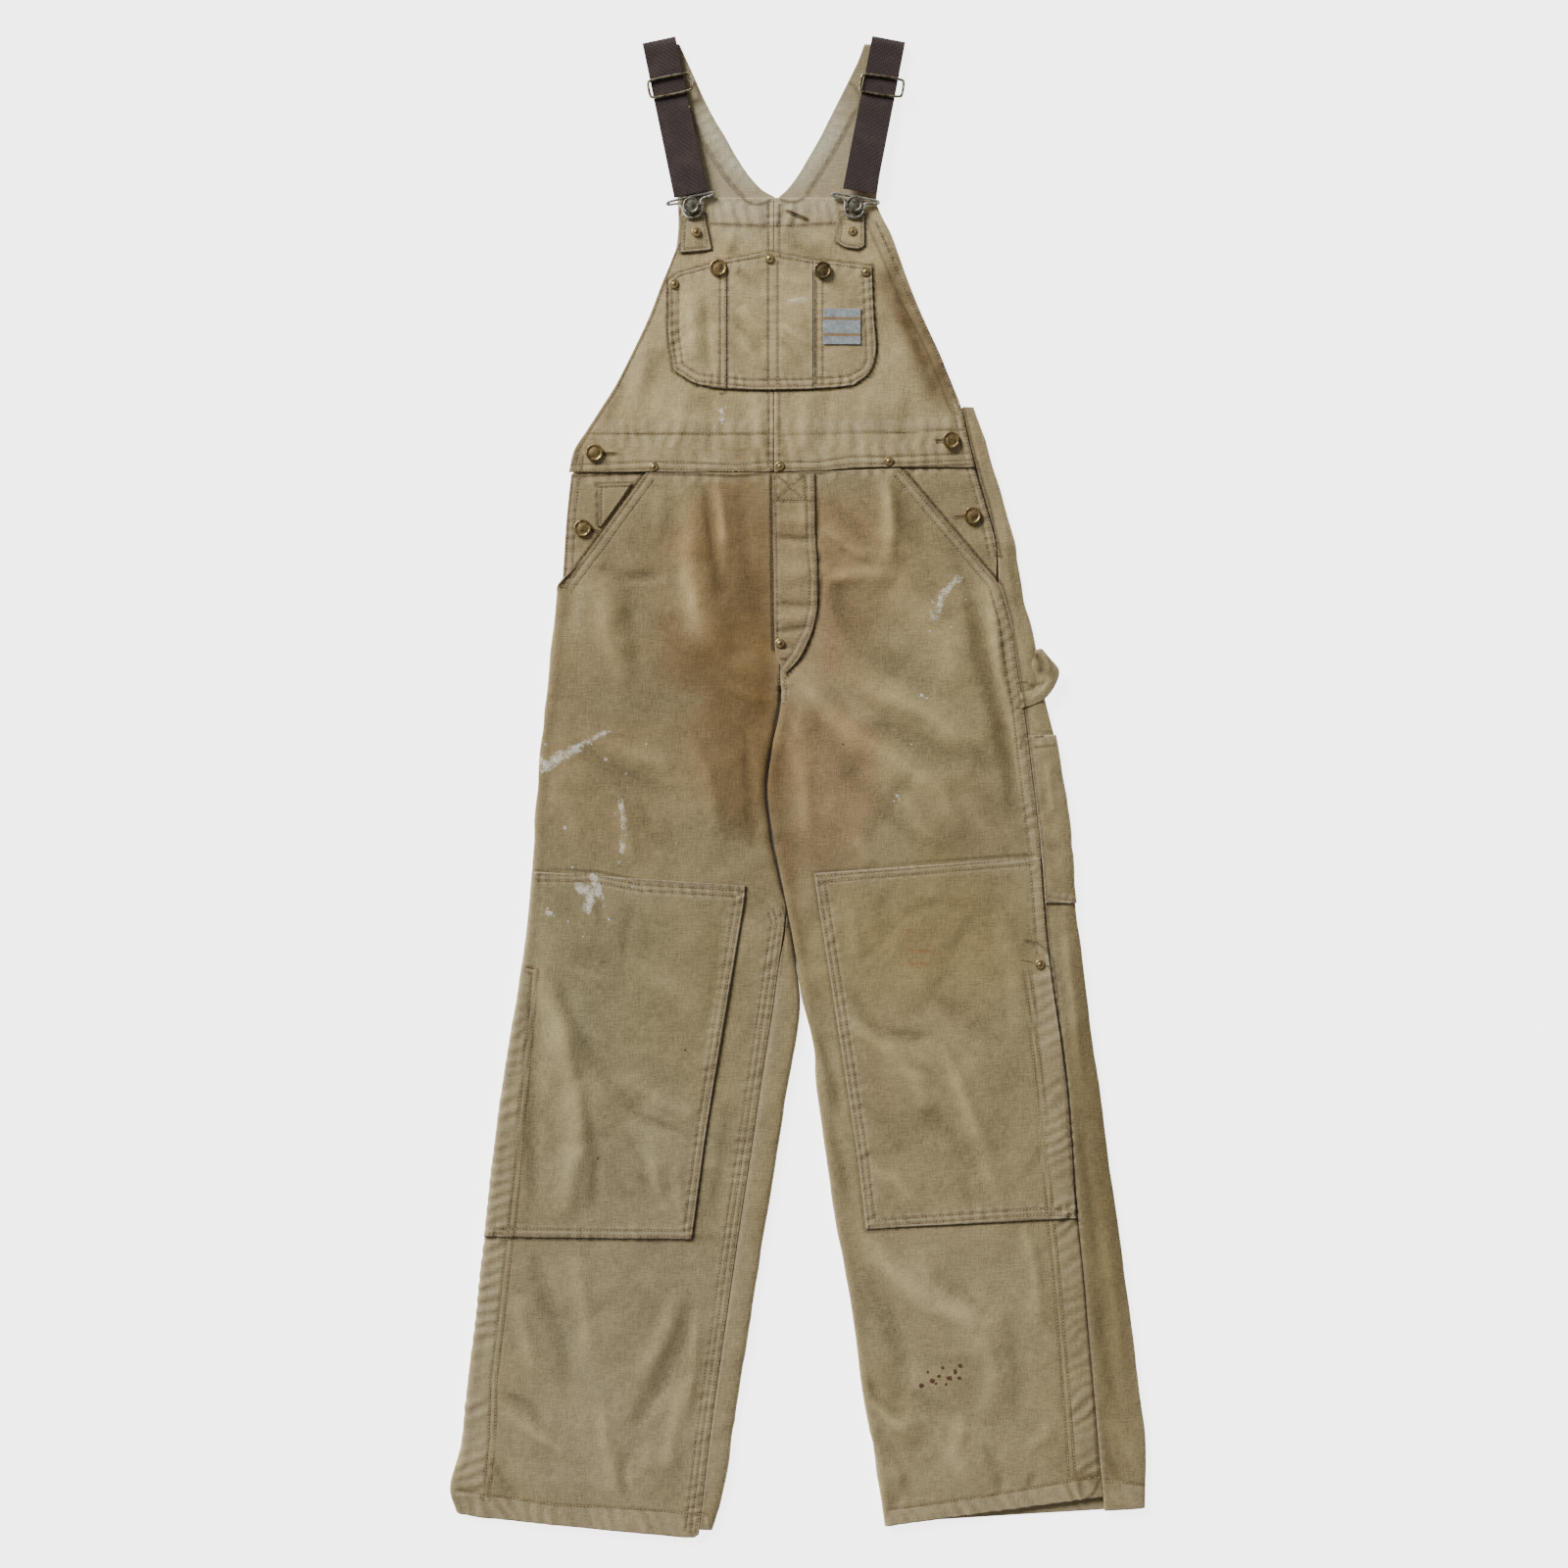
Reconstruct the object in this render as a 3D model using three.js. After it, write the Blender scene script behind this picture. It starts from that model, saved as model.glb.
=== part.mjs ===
// Bib overalls of worn cotton duck, laid flat on their back.
// +X is the wearer's left side, +Y runs up to the shoulders, +Z is up from the floor.
// Outlines are given in millimetres from the crotch point, where the four leg panels meet.
import * as THREE from "three";

// ---------- cloth ----------
const DUCK = 1.4;
const SEAM_GAP = 0.35;
const TUBE = 6.6;
const FOLD_RADIUS = 3.3;
const LAYER = DUCK + SEAM_GAP;
const EDGE_TURN = (118 * Math.PI) / 180;
const BIB_HEIGHT = 4.2;

// ---------- outlines, each a list of [y, x] ----------
const LEFT_SIDE = [
  [290, -176], [265, -191], [246, -203], [217, -210], [160, -215], [101, -221], [14, -229],
  [-43, -236],
  [-101, -241], [-160, -244], [-217, -249], [-275, -256], [-333, -267], [-391, -276], [-449, -283],
  [-565, -296], [-680, -309], [-738, -315.5], [-758, -322], [-781, -326], [-796, -319],
];
const RIGHT_SIDE = [
  [293, 184], [285, 193], [246, 203], [212, 212], [188, 220], [159, 229], [101, 239], [72, 247],
  [14, 257], [-43, 270], [-101, 280], [-160, 286], [-217, 291], [-275, 299], [-333, 306], [-391, 315],
  [-449, 322], [-507, 331], [-565, 338], [-622, 346], [-680, 352], [-738, 360], [-781, 362], [-800, 356],
];
const INNER_FOLD = [
  [0, 0], [-72, -13.5], [-100, -13.5], [-131, -8.7], [-169, -1.4], [-224, 9.7], [-299, 22.2],
];
const LEFT_INNER = [
  [-299, 19.5], [-333, 15.4], [-391, 4.8], [-449, -4], [-507, -13.5], [-565, -23], [-622, -32],
  [-680, -41.5], [-738, -49], [-796, -61], [-822, -69],
];
const RIGHT_INNER = [
  [-299, 25], [-333, 31], [-391, 36.7], [-449, 44.4], [-507, 53], [-565, 63.7], [-622, 72.4],
  [-680, 80], [-738, 91.7], [-767, 95.5], [-822, 104],
];
const INSEAM = [
  [-217, 3.9], [-306, -8.7], [-380, -20.3], [-427, -27], [-509, -39.6], [-647, -59.3],
  [-727, -70.4], [-822, -81],
];
const OUTSEAM = [
  [116, 213], [80, 224.8], [35, 231.6], [-10, 239.3], [-140, 254.8], [-195, 258.6], [-252, 263.4],
  [-327, 275], [-386, 282.7], [-500, 290.5], [-568, 297.2], [-678, 306.9], [-800, 318],
];
const VENT_EDGE = [
  [494, 92.6], [474, 101], [455, 111], [425, 121], [396, 132], [362, 147], [324, 165],
  [304, 172], [293, 176.6], [235, 190.1], [192, 202.7], [146, 212.8], [116, 213.5],
];
const BIB_LEFT = [
  [494, -98], [458, -98], [439, -105], [420, -114], [400, -120], [381, -128], [342, -146],
  [304, -166], [265, -191], [246, -203], [222, -209],
];
const LEFT_KNEE_EDGE = [
  [220, -40], [0, -40], [-184, -34.7], [-417, -73.3], [-529, -87.8], [-822, -124],
];
const RIGHT_KNEE_EDGE = [
  [220, 48], [0, 30], [-170, 32.8], [-317, 56], [-447, 75.8], [-519, 84.4], [-822, 132],
];
const LEFT_SLASH = [[224, -132], [112, -214]];
const RIGHT_SLASH = [[228, 117], [116, 212]];

// ---------- largest folds: start, end, half width, height ----------
const FOLDS = [
  [18, 14, 70, -34, 13, 4.6],
  [70, -34, 160, -118, 14, 4.2],
  [74, 18, 200, -52, 17, 3.6],
  [212, 84, 228, -20, 12, 3.0],
  [-89, 130, -78, 66, 14, 3.4],
  [-176, 100, -150, 12, 17, 2.8],
  [-80, -52, -66, -112, 14, 2.6],
  [-229, -265, -215, -333, 12, 3.6],
  [-215, -333, -195, -420, 13, 4.4],
  [-195, -420, -212, -506, 13, 3.4],
  [70, -333, 130, -372, 14, 2.6],
  [162, -352, 210, -449, 14, 3.0],
  [85, -536, 140, -594, 15, 3.0],
  [140, -594, 188, -613, 16, 2.6],
  [-195, -594, -184, -650, 15, 2.8],
  [-150, -700, -120, -740, 18, 2.6],
  [150, -690, 200, -740, 18, 2.4],
];

function at(curve, y) {
  let above = curve[0];
  for (const here of curve) {
    if (y >= here[0]) {
      const span = above[0] - here[0];
      return span === 0 ? here[1] : here[1] + ((above[1] - here[1]) * (y - here[0])) / span;
    }
    above = here;
  }
  return above[1];
}

function smooth(value) {
  const held = Math.min(1, Math.max(0, value));
  return held * held * (3 - 2 * held);
}

function foldHeight(x, y) {
  let height = 0;
  for (const [x1, y1, x2, y2, width, rise] of FOLDS) {
    const run = new THREE.Vector2(x2 - x1, y2 - y1);
    const reach = Math.min(1, Math.max(0, ((x - x1) * run.x + (y - y1) * run.y) / run.lengthSq()));
    const away = Math.hypot(x - x1 - run.x * reach, y - y1 - run.y * reach);
    height = Math.max(height, rise * Math.exp(-(away * away) / (2 * width * width)));
  }
  const atFly = smooth((Math.hypot(Math.max(0, Math.abs(x - 13) - 24), Math.max(0, -y)) - 2) / 14);
  const atWaist = smooth((222 - y) / 60);
  return height * atWaist * (y > 0 ? atFly : 1);
}

function frontHeight(x, y, left, right) {
  const fade = smooth((x - left - 5) / 24) * smooth((right - 5 - x) / 24);
  return TUBE + foldHeight(x, y) * fade;
}

// ---------- solids ----------
function solid(name, points, faces, material) {
  const geometry = new THREE.BufferGeometry();
  const places = points.flatMap((point) => [point.x, point.y, point.z]);
  geometry.setAttribute("position", new THREE.Float32BufferAttribute(places, 3));
  geometry.setIndex(faces.flat());
  geometry.computeVertexNormals();
  const mesh = new THREE.Mesh(geometry, material);
  mesh.name = name;
  return mesh;
}

function gridNormals(grid, facing) {
  return grid.map((row, k) =>
    row.map((point, i) => {
      const across = row[Math.min(i + 1, row.length - 1)].clone().sub(row[Math.max(i - 1, 0)]);
      const along = grid[Math.min(k + 1, grid.length - 1)][i].clone().sub(grid[Math.max(k - 1, 0)][i]);
      return along.cross(across).normalize().multiplyScalar(facing);
    }),
  );
}

// A wall of cloth: the grid is its outer face, row by row, and the inner face lies one thickness in.
function wall(name, grid, facing, material, thickness = DUCK) {
  const normals = gridNormals(grid, facing);
  const rows = grid.length;
  const columns = grid[0].length;
  const points = grid.flat().map((point) => point.clone());
  grid.forEach((row, k) =>
    row.forEach((point, i) => points.push(point.clone().addScaledVector(normals[k][i], -thickness))),
  );
  const inner = rows * columns;
  const faces = [];
  const add = (a, b, c) => faces.push(facing > 0 ? [a, b, c] : [a, c, b]);
  for (let k = 0; k < rows - 1; k += 1) {
    for (let i = 0; i < columns - 1; i += 1) {
      const a = k * columns + i;
      const b = a + 1;
      const c = a + columns;
      const d = c + 1;
      add(a, c, d);
      add(a, d, b);
      add(inner + a, inner + d, inner + c);
      add(inner + a, inner + b, inner + d);
    }
  }
  const rim = (a, b) => {
    add(a, b, inner + b);
    add(a, inner + b, inner + a);
  };
  for (let i = 0; i < columns - 1; i += 1) {
    rim(i, i + 1);
    rim((rows - 1) * columns + i + 1, (rows - 1) * columns + i);
  }
  for (let k = 0; k < rows - 1; k += 1) {
    rim((k + 1) * columns, k * columns);
    rim(k * columns + columns - 1, (k + 1) * columns + columns - 1);
  }
  return solid(name, points, faces, material);
}

// A piece laid on a panel: the panel's own points, moved out.
function laidOn(grid, facing, firstRow, lastRow, firstColumn, lastColumn, lift) {
  const normals = gridNormals(grid, facing);
  const piece = [];
  for (let k = firstRow; k <= lastRow; k += 1) {
    const row = [];
    for (let i = firstColumn; i <= lastColumn; i += 1) {
      row.push(grid[k][i].clone().addScaledVector(normals[k][i], lift));
    }
    piece.push(row);
  }
  return piece;
}

// A turned metal part from a profile of [radius, height], starting and ending on its axis.
function turned(name, profile, sides, x, y, z, material) {
  const points = [new THREE.Vector3(x, y, z + profile[0][1])];
  const rings = profile.slice(1, -1);
  for (const [radius, height] of rings) {
    for (let s = 0; s < sides; s += 1) {
      const turn = (2 * Math.PI * s) / sides;
      points.push(new THREE.Vector3(x + radius * Math.cos(turn), y + radius * Math.sin(turn), z + height));
    }
  }
  points.push(new THREE.Vector3(x, y, z + profile[profile.length - 1][1]));
  const top = points.length - 1;
  const faces = [];
  for (let s = 0; s < sides; s += 1) {
    const next = (s + 1) % sides;
    faces.push([0, 1 + next, 1 + s]);
    for (let r = 0; r < rings.length - 1; r += 1) {
      const a = 1 + r * sides;
      faces.push([a + s, a + next, a + sides + next]);
      faces.push([a + s, a + sides + next, a + sides + s]);
    }
    const last = 1 + (rings.length - 1) * sides;
    faces.push([last + s, last + next, top]);
  }
  return solid(name, points, faces, material);
}

// A closed loop of round wire lying level.
function wireLoop(name, path, radius, material) {
  const sides = 6;
  const points = [];
  path.forEach((point, k) => {
    const before = path[(k + path.length - 1) % path.length];
    const after = path[(k + 1) % path.length];
    const ahead = after.clone().sub(before).normalize();
    const aside = new THREE.Vector3(ahead.y, -ahead.x, 0).normalize();
    for (let s = 0; s < sides; s += 1) {
      const turn = (2 * Math.PI * s) / sides;
      points.push(
        point
          .clone()
          .addScaledVector(aside, radius * Math.cos(turn))
          .add(new THREE.Vector3(0, 0, radius * Math.sin(turn))),
      );
    }
  });
  const faces = [];
  for (let k = 0; k < path.length; k += 1) {
    const here = k * sides;
    const there = ((k + 1) % path.length) * sides;
    for (let s = 0; s < sides; s += 1) {
      const next = (s + 1) % sides;
      faces.push([here + s, there + s, there + next]);
      faces.push([here + s, there + next, here + next]);
    }
  }
  return solid(name, points, faces, material);
}

// ---------- materials ----------
const duck = new THREE.MeshStandardMaterial({ color: 0x94805e, roughness: 0.95, metalness: 0 });
const duckLight = new THREE.MeshStandardMaterial({ color: 0xb1a084, roughness: 0.95, metalness: 0 });
const webbingBrown = new THREE.MeshStandardMaterial({ color: 0x3a2e2c, roughness: 0.85, metalness: 0 });
const zipTape = new THREE.MeshStandardMaterial({ color: 0x4a3f33, roughness: 0.9, metalness: 0 });
const patchBlue = new THREE.MeshStandardMaterial({ color: 0xaab4b8, roughness: 0.9, metalness: 0 });
const oldBrass = new THREE.MeshStandardMaterial({ color: 0x8a6b34, roughness: 0.42, metalness: 0.9 });
const steelWire = new THREE.MeshStandardMaterial({ color: 0x8e8878, roughness: 0.4, metalness: 0.9 });

const overalls = new THREE.Group();
overalls.name = "bib_overalls";

// ---------- leg panels ----------
// Beside a fold a panel has this band of closer stations.
const EDGE_BAND = 9;
const FRONT_STATIONS = [0, 0.14, 0.28, 0.42, 1];
const UNDER_STATIONS = [0, 0.3, 0.6, 0.85];
const SOFT_TURN = 0.78;

// One row of a front panel: its ends turn down round the fold by the given angles.
function frontRow(yLeft, yRight, leftEdge, rightEdge, leftTurn, rightTurn, middle) {
  const yMid = (yLeft + yRight) / 2;
  const xLeft = leftEdge(yLeft);
  const xRight = rightEdge(yRight);
  const level = (x) => yLeft + ((yRight - yLeft) * (x - xLeft)) / (xRight - xLeft);
  const row = [];
  const end = (edge, direction, turn, y) => {
    const arc = FOLD_RADIUS * turn;
    const flat = edge + direction * FOLD_RADIUS * Math.min(1, turn / (Math.PI / 2));
    return FRONT_STATIONS.map((share) => {
      const reach = (arc + EDGE_BAND) * share;
      if (reach >= arc) {
        const x = flat + direction * (reach - arc);
        return new THREE.Vector3(x, y, frontHeight(x, y, xLeft, xRight));
      }
      const angle = (arc - reach) / FOLD_RADIUS;
      const x = flat - direction * FOLD_RADIUS * Math.sin(angle);
      return new THREE.Vector3(x, y, (TUBE / 2) * (1 + Math.cos(angle)));
    });
  };
  row.push(...end(xLeft, 1, leftTurn, yLeft));
  for (const station of middle(yMid, xLeft, xRight)) {
    row.push(new THREE.Vector3(station, 0, frontHeight(station, level(station), xLeft, xRight)));
  }
  row.push(...end(xRight, -1, rightTurn, yRight).reverse());
  row.forEach((point) => {
    point.y = level(point.x);
  });
  return row;
}

// One row of a back panel: flat on the floor, then round the fold at its right edge, to end on top.
function backRow(yLeft, yRight, xLeft, xRight, height, turn, topLength, floor) {
  const arc = FOLD_RADIUS * turn;
  const flatEnd = xRight - FOLD_RADIUS * Math.min(1, turn / SOFT_TURN);
  const flatStart = flatEnd - EDGE_BAND;
  const row = UNDER_STATIONS.map((share) => [xLeft + (flatStart - xLeft) * share, 0]);
  const past = arc + topLength;
  let spread = [0, 1.5, 3, 4.5, 6, 7.5, EDGE_BAND + past];
  if (past > 1) {
    const round = topLength > 6
      ? [0, arc * 0.3, arc * 0.55, arc * 0.8, arc, past]
      : [0, past * 0.25, past * 0.5, past * 0.7, past * 0.85, past];
    spread = [0, ...round.map((reach) => EDGE_BAND + reach)];
  }
  for (const reach of spread) {
    if (reach <= EDGE_BAND) {
      row.push([flatStart + reach, 0]);
    } else if (reach - EDGE_BAND <= arc + 1e-6) {
      const angle = (reach - EDGE_BAND) / FOLD_RADIUS;
      row.push([flatEnd + FOLD_RADIUS * Math.sin(angle), (height / 2) * (1 - Math.cos(angle))]);
    } else {
      row.push([flatEnd - (reach - EDGE_BAND - arc), height]);
    }
  }
  return row.map(([x, z]) => {
    const y = yLeft + ((yRight - yLeft) * (x - xLeft)) / (xRight - xLeft);
    return new THREE.Vector3(x, y, z + floor(x, y, z));
  });
}

// Left leg: rows run from the waist seam to the hem, as [y at the outseam, y at the inseam].
const LEFT_ROWS = [
  [223.5, 223.5], [200, 200], [170, 170], [140, 140], [111, 118], [104, 104], [70, 70], [35, 33], [0, -3],
  [-35, -40], [-75, -82], [-115, -126], [-168, -184], [-187, -203], [-206, -222], [-244, -260], [-290, -306],
  [-336, -350], [-382, -394], [-428, -438], [-476, -482], [-526, -529], [-580, -586], [-636, -644],
  [-690, -702], [-735, -752], [-778, -796], [-795, -819],
];
const LEFT_KNEE_TOP = 12;
const LEFT_KNEE_BOTTOM = 21;
const inseamEdge = (y) => {
  if (y > 0) {
    return -1;
  }
  if (y > -217) {
    return at(INNER_FOLD, y) - 1.1;
  }
  return at(INSEAM, y);
};
// How far the inseam has turned from the inner fold onto the top of the leg, from 0 to 1.
const seamTurn = (y) => Math.min(1, Math.max(0, (-184 - y) / 38));
const leftFrontEdge = (y) => (y > 111 ? at(LEFT_SLASH, y) : at(LEFT_SIDE, y));
const leftMiddle = (y, xLeft, xRight) => {
  const patch = Math.min(at(LEFT_KNEE_EDGE, y), xRight - 26);
  const first = xLeft + 16;
  return [0, 0.2, 0.4, 0.6, 0.8, 1].map((share) => first + (patch - first) * share);
};
const leftFront = LEFT_ROWS.map(([yLeft, yRight]) => {
  const leftTurn = yLeft > 110 ? 0 : EDGE_TURN;
  const rightTurn = yRight > -2 ? 0 : EDGE_TURN * (1 - seamTurn(yRight));
  return frontRow(yLeft, yRight, leftFrontEdge, inseamEdge, leftTurn, rightTurn, leftMiddle);
});
leftFront[leftFront.length - 1].forEach((point, i, row) => {
  point.y -= 5 * Math.sin((Math.PI * i) / (row.length - 1));
});
overalls.add(wall("front_leg_left", leftFront, 1, duck));
overalls.add(
  wall("knee_patch_left", laidOn(leftFront, 1, LEFT_KNEE_TOP, LEFT_KNEE_BOTTOM, 2, 10, LAYER), 1, duck),
);

const LEFT_BACK_ROWS = [
  288, 262, 230, 190, 150, 110, 60, 12, -3, -40, -82, -126, -184, -203, -222, -260, -306, -350, -394,
  -438, -482, -529, -586, -644, -702, -752, -796, -815,
];
const noPocket = () => 0;
const leftBack = LEFT_BACK_ROWS.map((y) => {
  const slant = y < -640 ? ((-640 - y) / 175) * 20 : 0;
  const xLeft = at(LEFT_SIDE, y + slant) + (y > 105 ? 4 : 0.4);
  if (y > -2) {
    return backRow(y + slant, y, xLeft, -0.4, 0, 0, 0, noPocket);
  }
  if (y > -215) {
    const turn = (Math.PI / 4) * (1 + 3 * seamTurn(y) ** 2);
    return backRow(y + slant, y, xLeft, at(INNER_FOLD, y) - 1.1, TUBE, turn, 0, noPocket);
  }
  const xRight = y > -299 ? at(INNER_FOLD, y) - 1 : at(LEFT_INNER, y);
  const ease = y > -240 ? 1.2 : 0;
  const topLength = xRight - FOLD_RADIUS - at(INSEAM, y) - SEAM_GAP - ease;
  return backRow(y + slant, y, xLeft, xRight, TUBE, Math.PI, Math.max(0.4, topLength), noPocket);
});
overalls.add(wall("back_leg_left", leftBack, -1, duck));

// Right leg: rows run from the waist seam to the hem, as [y at the inner fold, y at the outseam].
const RIGHT_ROWS = [
  [223.5, 228], [200, 200], [170, 170], [142, 142], [118, 114.5], [100, 100], [66, 66], [30, 33], [-4, 0],
  [-42, -34], [-85, -72], [-130, -112], [-172, -154], [-214, -199], [-250, -234], [-296, -284],
  [-340, -330], [-386, -376], [-432, -420], [-476, -464], [-520, -508], [-580, -566], [-636, -620],
  [-690, -672], [-750, -728], [-811, -782],
];
const RIGHT_KNEE_TOP = 12;
const RIGHT_KNEE_BOTTOM = 20;
const rightInnerEdge = (y) => {
  if (y > 0) {
    return -0.5;
  }
  return y > -299 ? at(INNER_FOLD, y) : at(RIGHT_INNER, y);
};
const outseamEdge = (y) => (y > 115 ? at(RIGHT_SLASH, y) : at(OUTSEAM, y));
const rightMiddle = (y, xLeft, xRight) => {
  const patch = Math.max(at(RIGHT_KNEE_EDGE, y), xLeft + 18);
  const last = xRight - 16;
  return [0, 0.2, 0.4, 0.6, 0.8, 1].map((share) => patch + (last - patch) * share);
};
const rightFront = RIGHT_ROWS.map(([yLeft, yRight]) => {
  const leftTurn = yLeft > -2 ? 0 : EDGE_TURN;
  return frontRow(yLeft, yRight, rightInnerEdge, outseamEdge, leftTurn, 0, rightMiddle);
});
overalls.add(wall("front_leg_right", rightFront, 1, duck));
overalls.add(
  wall("knee_patch_right", laidOn(rightFront, 1, RIGHT_KNEE_TOP, RIGHT_KNEE_BOTTOM, 5, 14, LAYER), 1, duck),
);

// The back of the right leg rises a layer over the tool pocket, which lies between it and the floor.
const TOOL_POCKET = { top: -34, bottom: -199, inner: 170 };
function overPocket(x, y, z) {
  const inRow = smooth((y - TOOL_POCKET.bottom + 16) / 12) * smooth((TOOL_POCKET.top + 14 - y) / 12);
  const inColumn = smooth((x - TOOL_POCKET.inner + 14) / 12);
  return z > 0.01 ? LAYER * inRow * (1 - Math.min(1, z / TUBE)) : LAYER * inRow * inColumn;
}
const RIGHT_BACK_ROWS = [
  288, 262, 230, 190, 150, 124, 114.5, 100, 66, 33, 0, -18, -34, -72, -112, -154, -199, -215, -234,
  -284, -330,
  -376, -420, -464, -508, -566, -620, -672, -728, -793,
];
const rightBack = RIGHT_BACK_ROWS.map((y) => {
  const slant = y < -600 ? ((-600 - y) / 193) * 16 : 0;
  const xLeft = y > 0 ? 0 : rightInnerEdge(y - slant) + 0.4;
  const xRight = at(RIGHT_SIDE, y);
  const end = (y > 116 ? at(VENT_EDGE, y) : at(OUTSEAM, y)) + SEAM_GAP;
  const topLength = Math.max(0.5, xRight - FOLD_RADIUS - end);
  return backRow(y - slant, y, xLeft, xRight, TUBE, Math.PI, topLength, overPocket);
});
overalls.add(wall("back_leg_right", rightBack, -1, duck));

const POCKET_FIRST = 12;
const POCKET_LAST = 16;
overalls.add(
  wall("tool_pocket", laidOn(rightBack, -1, POCKET_FIRST, POCKET_LAST, 3, 10, LAYER), -1, duck),
);

// ---------- high back and its shoulder ends ----------
// The back rises to two shoulder ends with a V between them.
// Rows are [y, left half's outer x and inner x, right half's inner x and outer x].
const BACK_UPPER = [
  [646, -123, -100, 82, 115], [632, -121, -93.6, 77, 113], [613, -119, -85, 68, 111],
  [593, -116, -76.2, 58, 108], [574, -113, -66.6, 48.5, 105], [555, -110, -55, 39, 102],
  [536, -108, -44.4, 28, 100], [516, -105, -31, 16, 97], [502, -103, -17.5, 5, 95],
  [494, -102, -4.5, -3.5, 94], [470, -101, -4.5, -3.5, 93], [430, -106, -4.5, -3.5, 98],
  [380, -125, -4.5, -3.5, 118], [330, -149, -4.5, -3.5, 145], [288.4, -172, -4.5, -3.5, 176],
];
const UPPER_STATIONS = [0, 0.25, 0.5, 0.75, 1];
function backUpper(first, last) {
  return BACK_UPPER.map((row) => {
    const near = row[first];
    const far = row[last];
    return UPPER_STATIONS.map((share) => new THREE.Vector3(near + (far - near) * share, row[0], 0));
  });
}
overalls.add(wall("back_upper_left", backUpper(1, 2), -1, duckLight));
overalls.add(wall("back_upper_right", backUpper(3, 4), -1, duckLight));

// ---------- bib ----------
const BIB_ROWS = [494, 475, 458, 439, 410, 381, 342, 304, 296, 265, 246, 224.2];
function bibRow(y, from, to) {
  const height = y > 300 ? BIB_HEIGHT : BIB_HEIGHT + ((TUBE - BIB_HEIGHT) * (300 - y)) / 76;
  return [0, 0.25, 0.5, 0.75, 1].map((share) => new THREE.Vector3(from + (to - from) * share, y, height));
}
const bibLeft = BIB_ROWS.map((y) => bibRow(y, at(BIB_LEFT, y), -7));
const WAIST_RISE = 4.8;
const bibRight = BIB_ROWS.map((y) => bibRow(y, -6.6, at(VENT_EDGE, y < 225 ? y + WAIST_RISE : y) - 1));
bibRight[bibRight.length - 1].forEach((point) => {
  point.y += WAIST_RISE * smooth(point.x / 110);
});
overalls.add(wall("bib_left", bibLeft, 1, duckLight));
overalls.add(wall("bib_right", bibRight, 1, duckLight));

// A level piece of cloth from rows of corner points, at one height.
function levelPiece(name, rows, top, material, thickness = DUCK) {
  const grid = rows.map((row) => row.map(([x, y]) => new THREE.Vector3(x, y, top)));
  return wall(name, grid, 1, material, thickness);
}

const ON_BIB = BIB_HEIGHT + LAYER;
overalls.add(levelPiece("bib_pocket_left", [
  [[-99, 420], [-76, 426], [-53, 432]],
  [[-110, 411], [-80, 412], [-53, 414]],
  [[-110, 362], [-80, 362], [-53, 362]],
  [[-108, 334], [-80, 330], [-53, 330]],
  [[-102, 322], [-78, 312], [-53, 308]],
  [[-88, 313], [-70, 308], [-53, 306]],
], ON_BIB, duckLight));
overalls.add(levelPiece("bib_pocket_centre", [
  [[-52.5, 432.5], [-30, 437], [-11, 440.5], [12, 437], [31.5, 432]],
  [[-52.5, 380], [-30, 380], [-11, 380], [12, 380], [31.5, 380]],
  [[-52.5, 306], [-30, 305.5], [-11, 305], [12, 305.5], [31.5, 306]],
], ON_BIB, duckLight));
overalls.add(levelPiece("bib_pocket_right", [
  [[32, 432], [60, 429.5], [89, 426]],
  [[32, 380], [60, 380], [91, 380]],
  [[32, 340], [60, 340], [93, 340]],
  [[32, 322], [60, 318], [86, 322]],
  [[32, 306.5], [52, 307.5], [72, 310.5]],
], ON_BIB, duckLight));
overalls.add(levelPiece("woven_patch", [
  [[41.5, 384.5], [78.5, 384.5]],
  [[41.5, 349.5], [78.5, 349.5]],
], ON_BIB + SEAM_GAP + 0.8, patchBlue, 0.8));
overalls.add(levelPiece("strap_tab_left", [
  [[-97, 477.5], [-76, 480.5]],
  [[-98, 458], [-72, 461]],
  [[-98.5, 440], [-68, 443]],
], ON_BIB, duckLight));
overalls.add(levelPiece("strap_tab_right", [
  [[60, 482], [66, 481.5], [75, 480.5], [81.5, 479.5]],
  [[55, 468], [62, 467], [74, 466], [82, 465]],
  [[54, 451], [61.5, 446], [77, 444], [82, 447]],
], ON_BIB, duckLight));

// ---------- hip and fly ----------
const UNDER = TUBE - LAYER;
overalls.add(levelPiece("side_panel_left", [
  [[-206, 222.5], [-170, 222.8], [-122, 223]],
  [[-209.5, 190], [-183, 190], [-148, 190]],
  [[-212.5, 150], [-196, 150], [-178, 150]],
  [[-214.5, 116], [-209, 115], [-204, 114]],
], UNDER, duck));
overalls.add(levelPiece("coin_pocket", [
  [[-180, 212], [-162, 213], [-146, 213]],
  [[-180, 192], [-171, 192], [-161, 192]],
  [[-180, 171], [-178, 171], [-177, 171]],
], TUBE, duck));
overalls.add(levelPiece("side_panel_right", [
  [[106, 227.5], [150, 228], [190, 229]],
  [[136, 192], [165, 192], [201, 192]],
  [[172, 150], [190, 150], [211.5, 150]],
  [[201, 118.5], [206, 118.5], [211.5, 118.5]],
], UNDER, duck));
overalls.add(levelPiece("fly", [
  [[-8.5, 222], [12, 222.6], [33, 223]],
  [[-7.5, 160], [13, 160], [34, 160]],
  [[-6, 110], [14, 110], [36, 112]],
  [[-6, 80], [13, 78], [33, 76]],
  [[-5.5, 60], [7, 50], [19, 42]],
  [[-5, 44], [0, 34], [5, 27]],
], TUBE + LAYER, duck));

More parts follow.
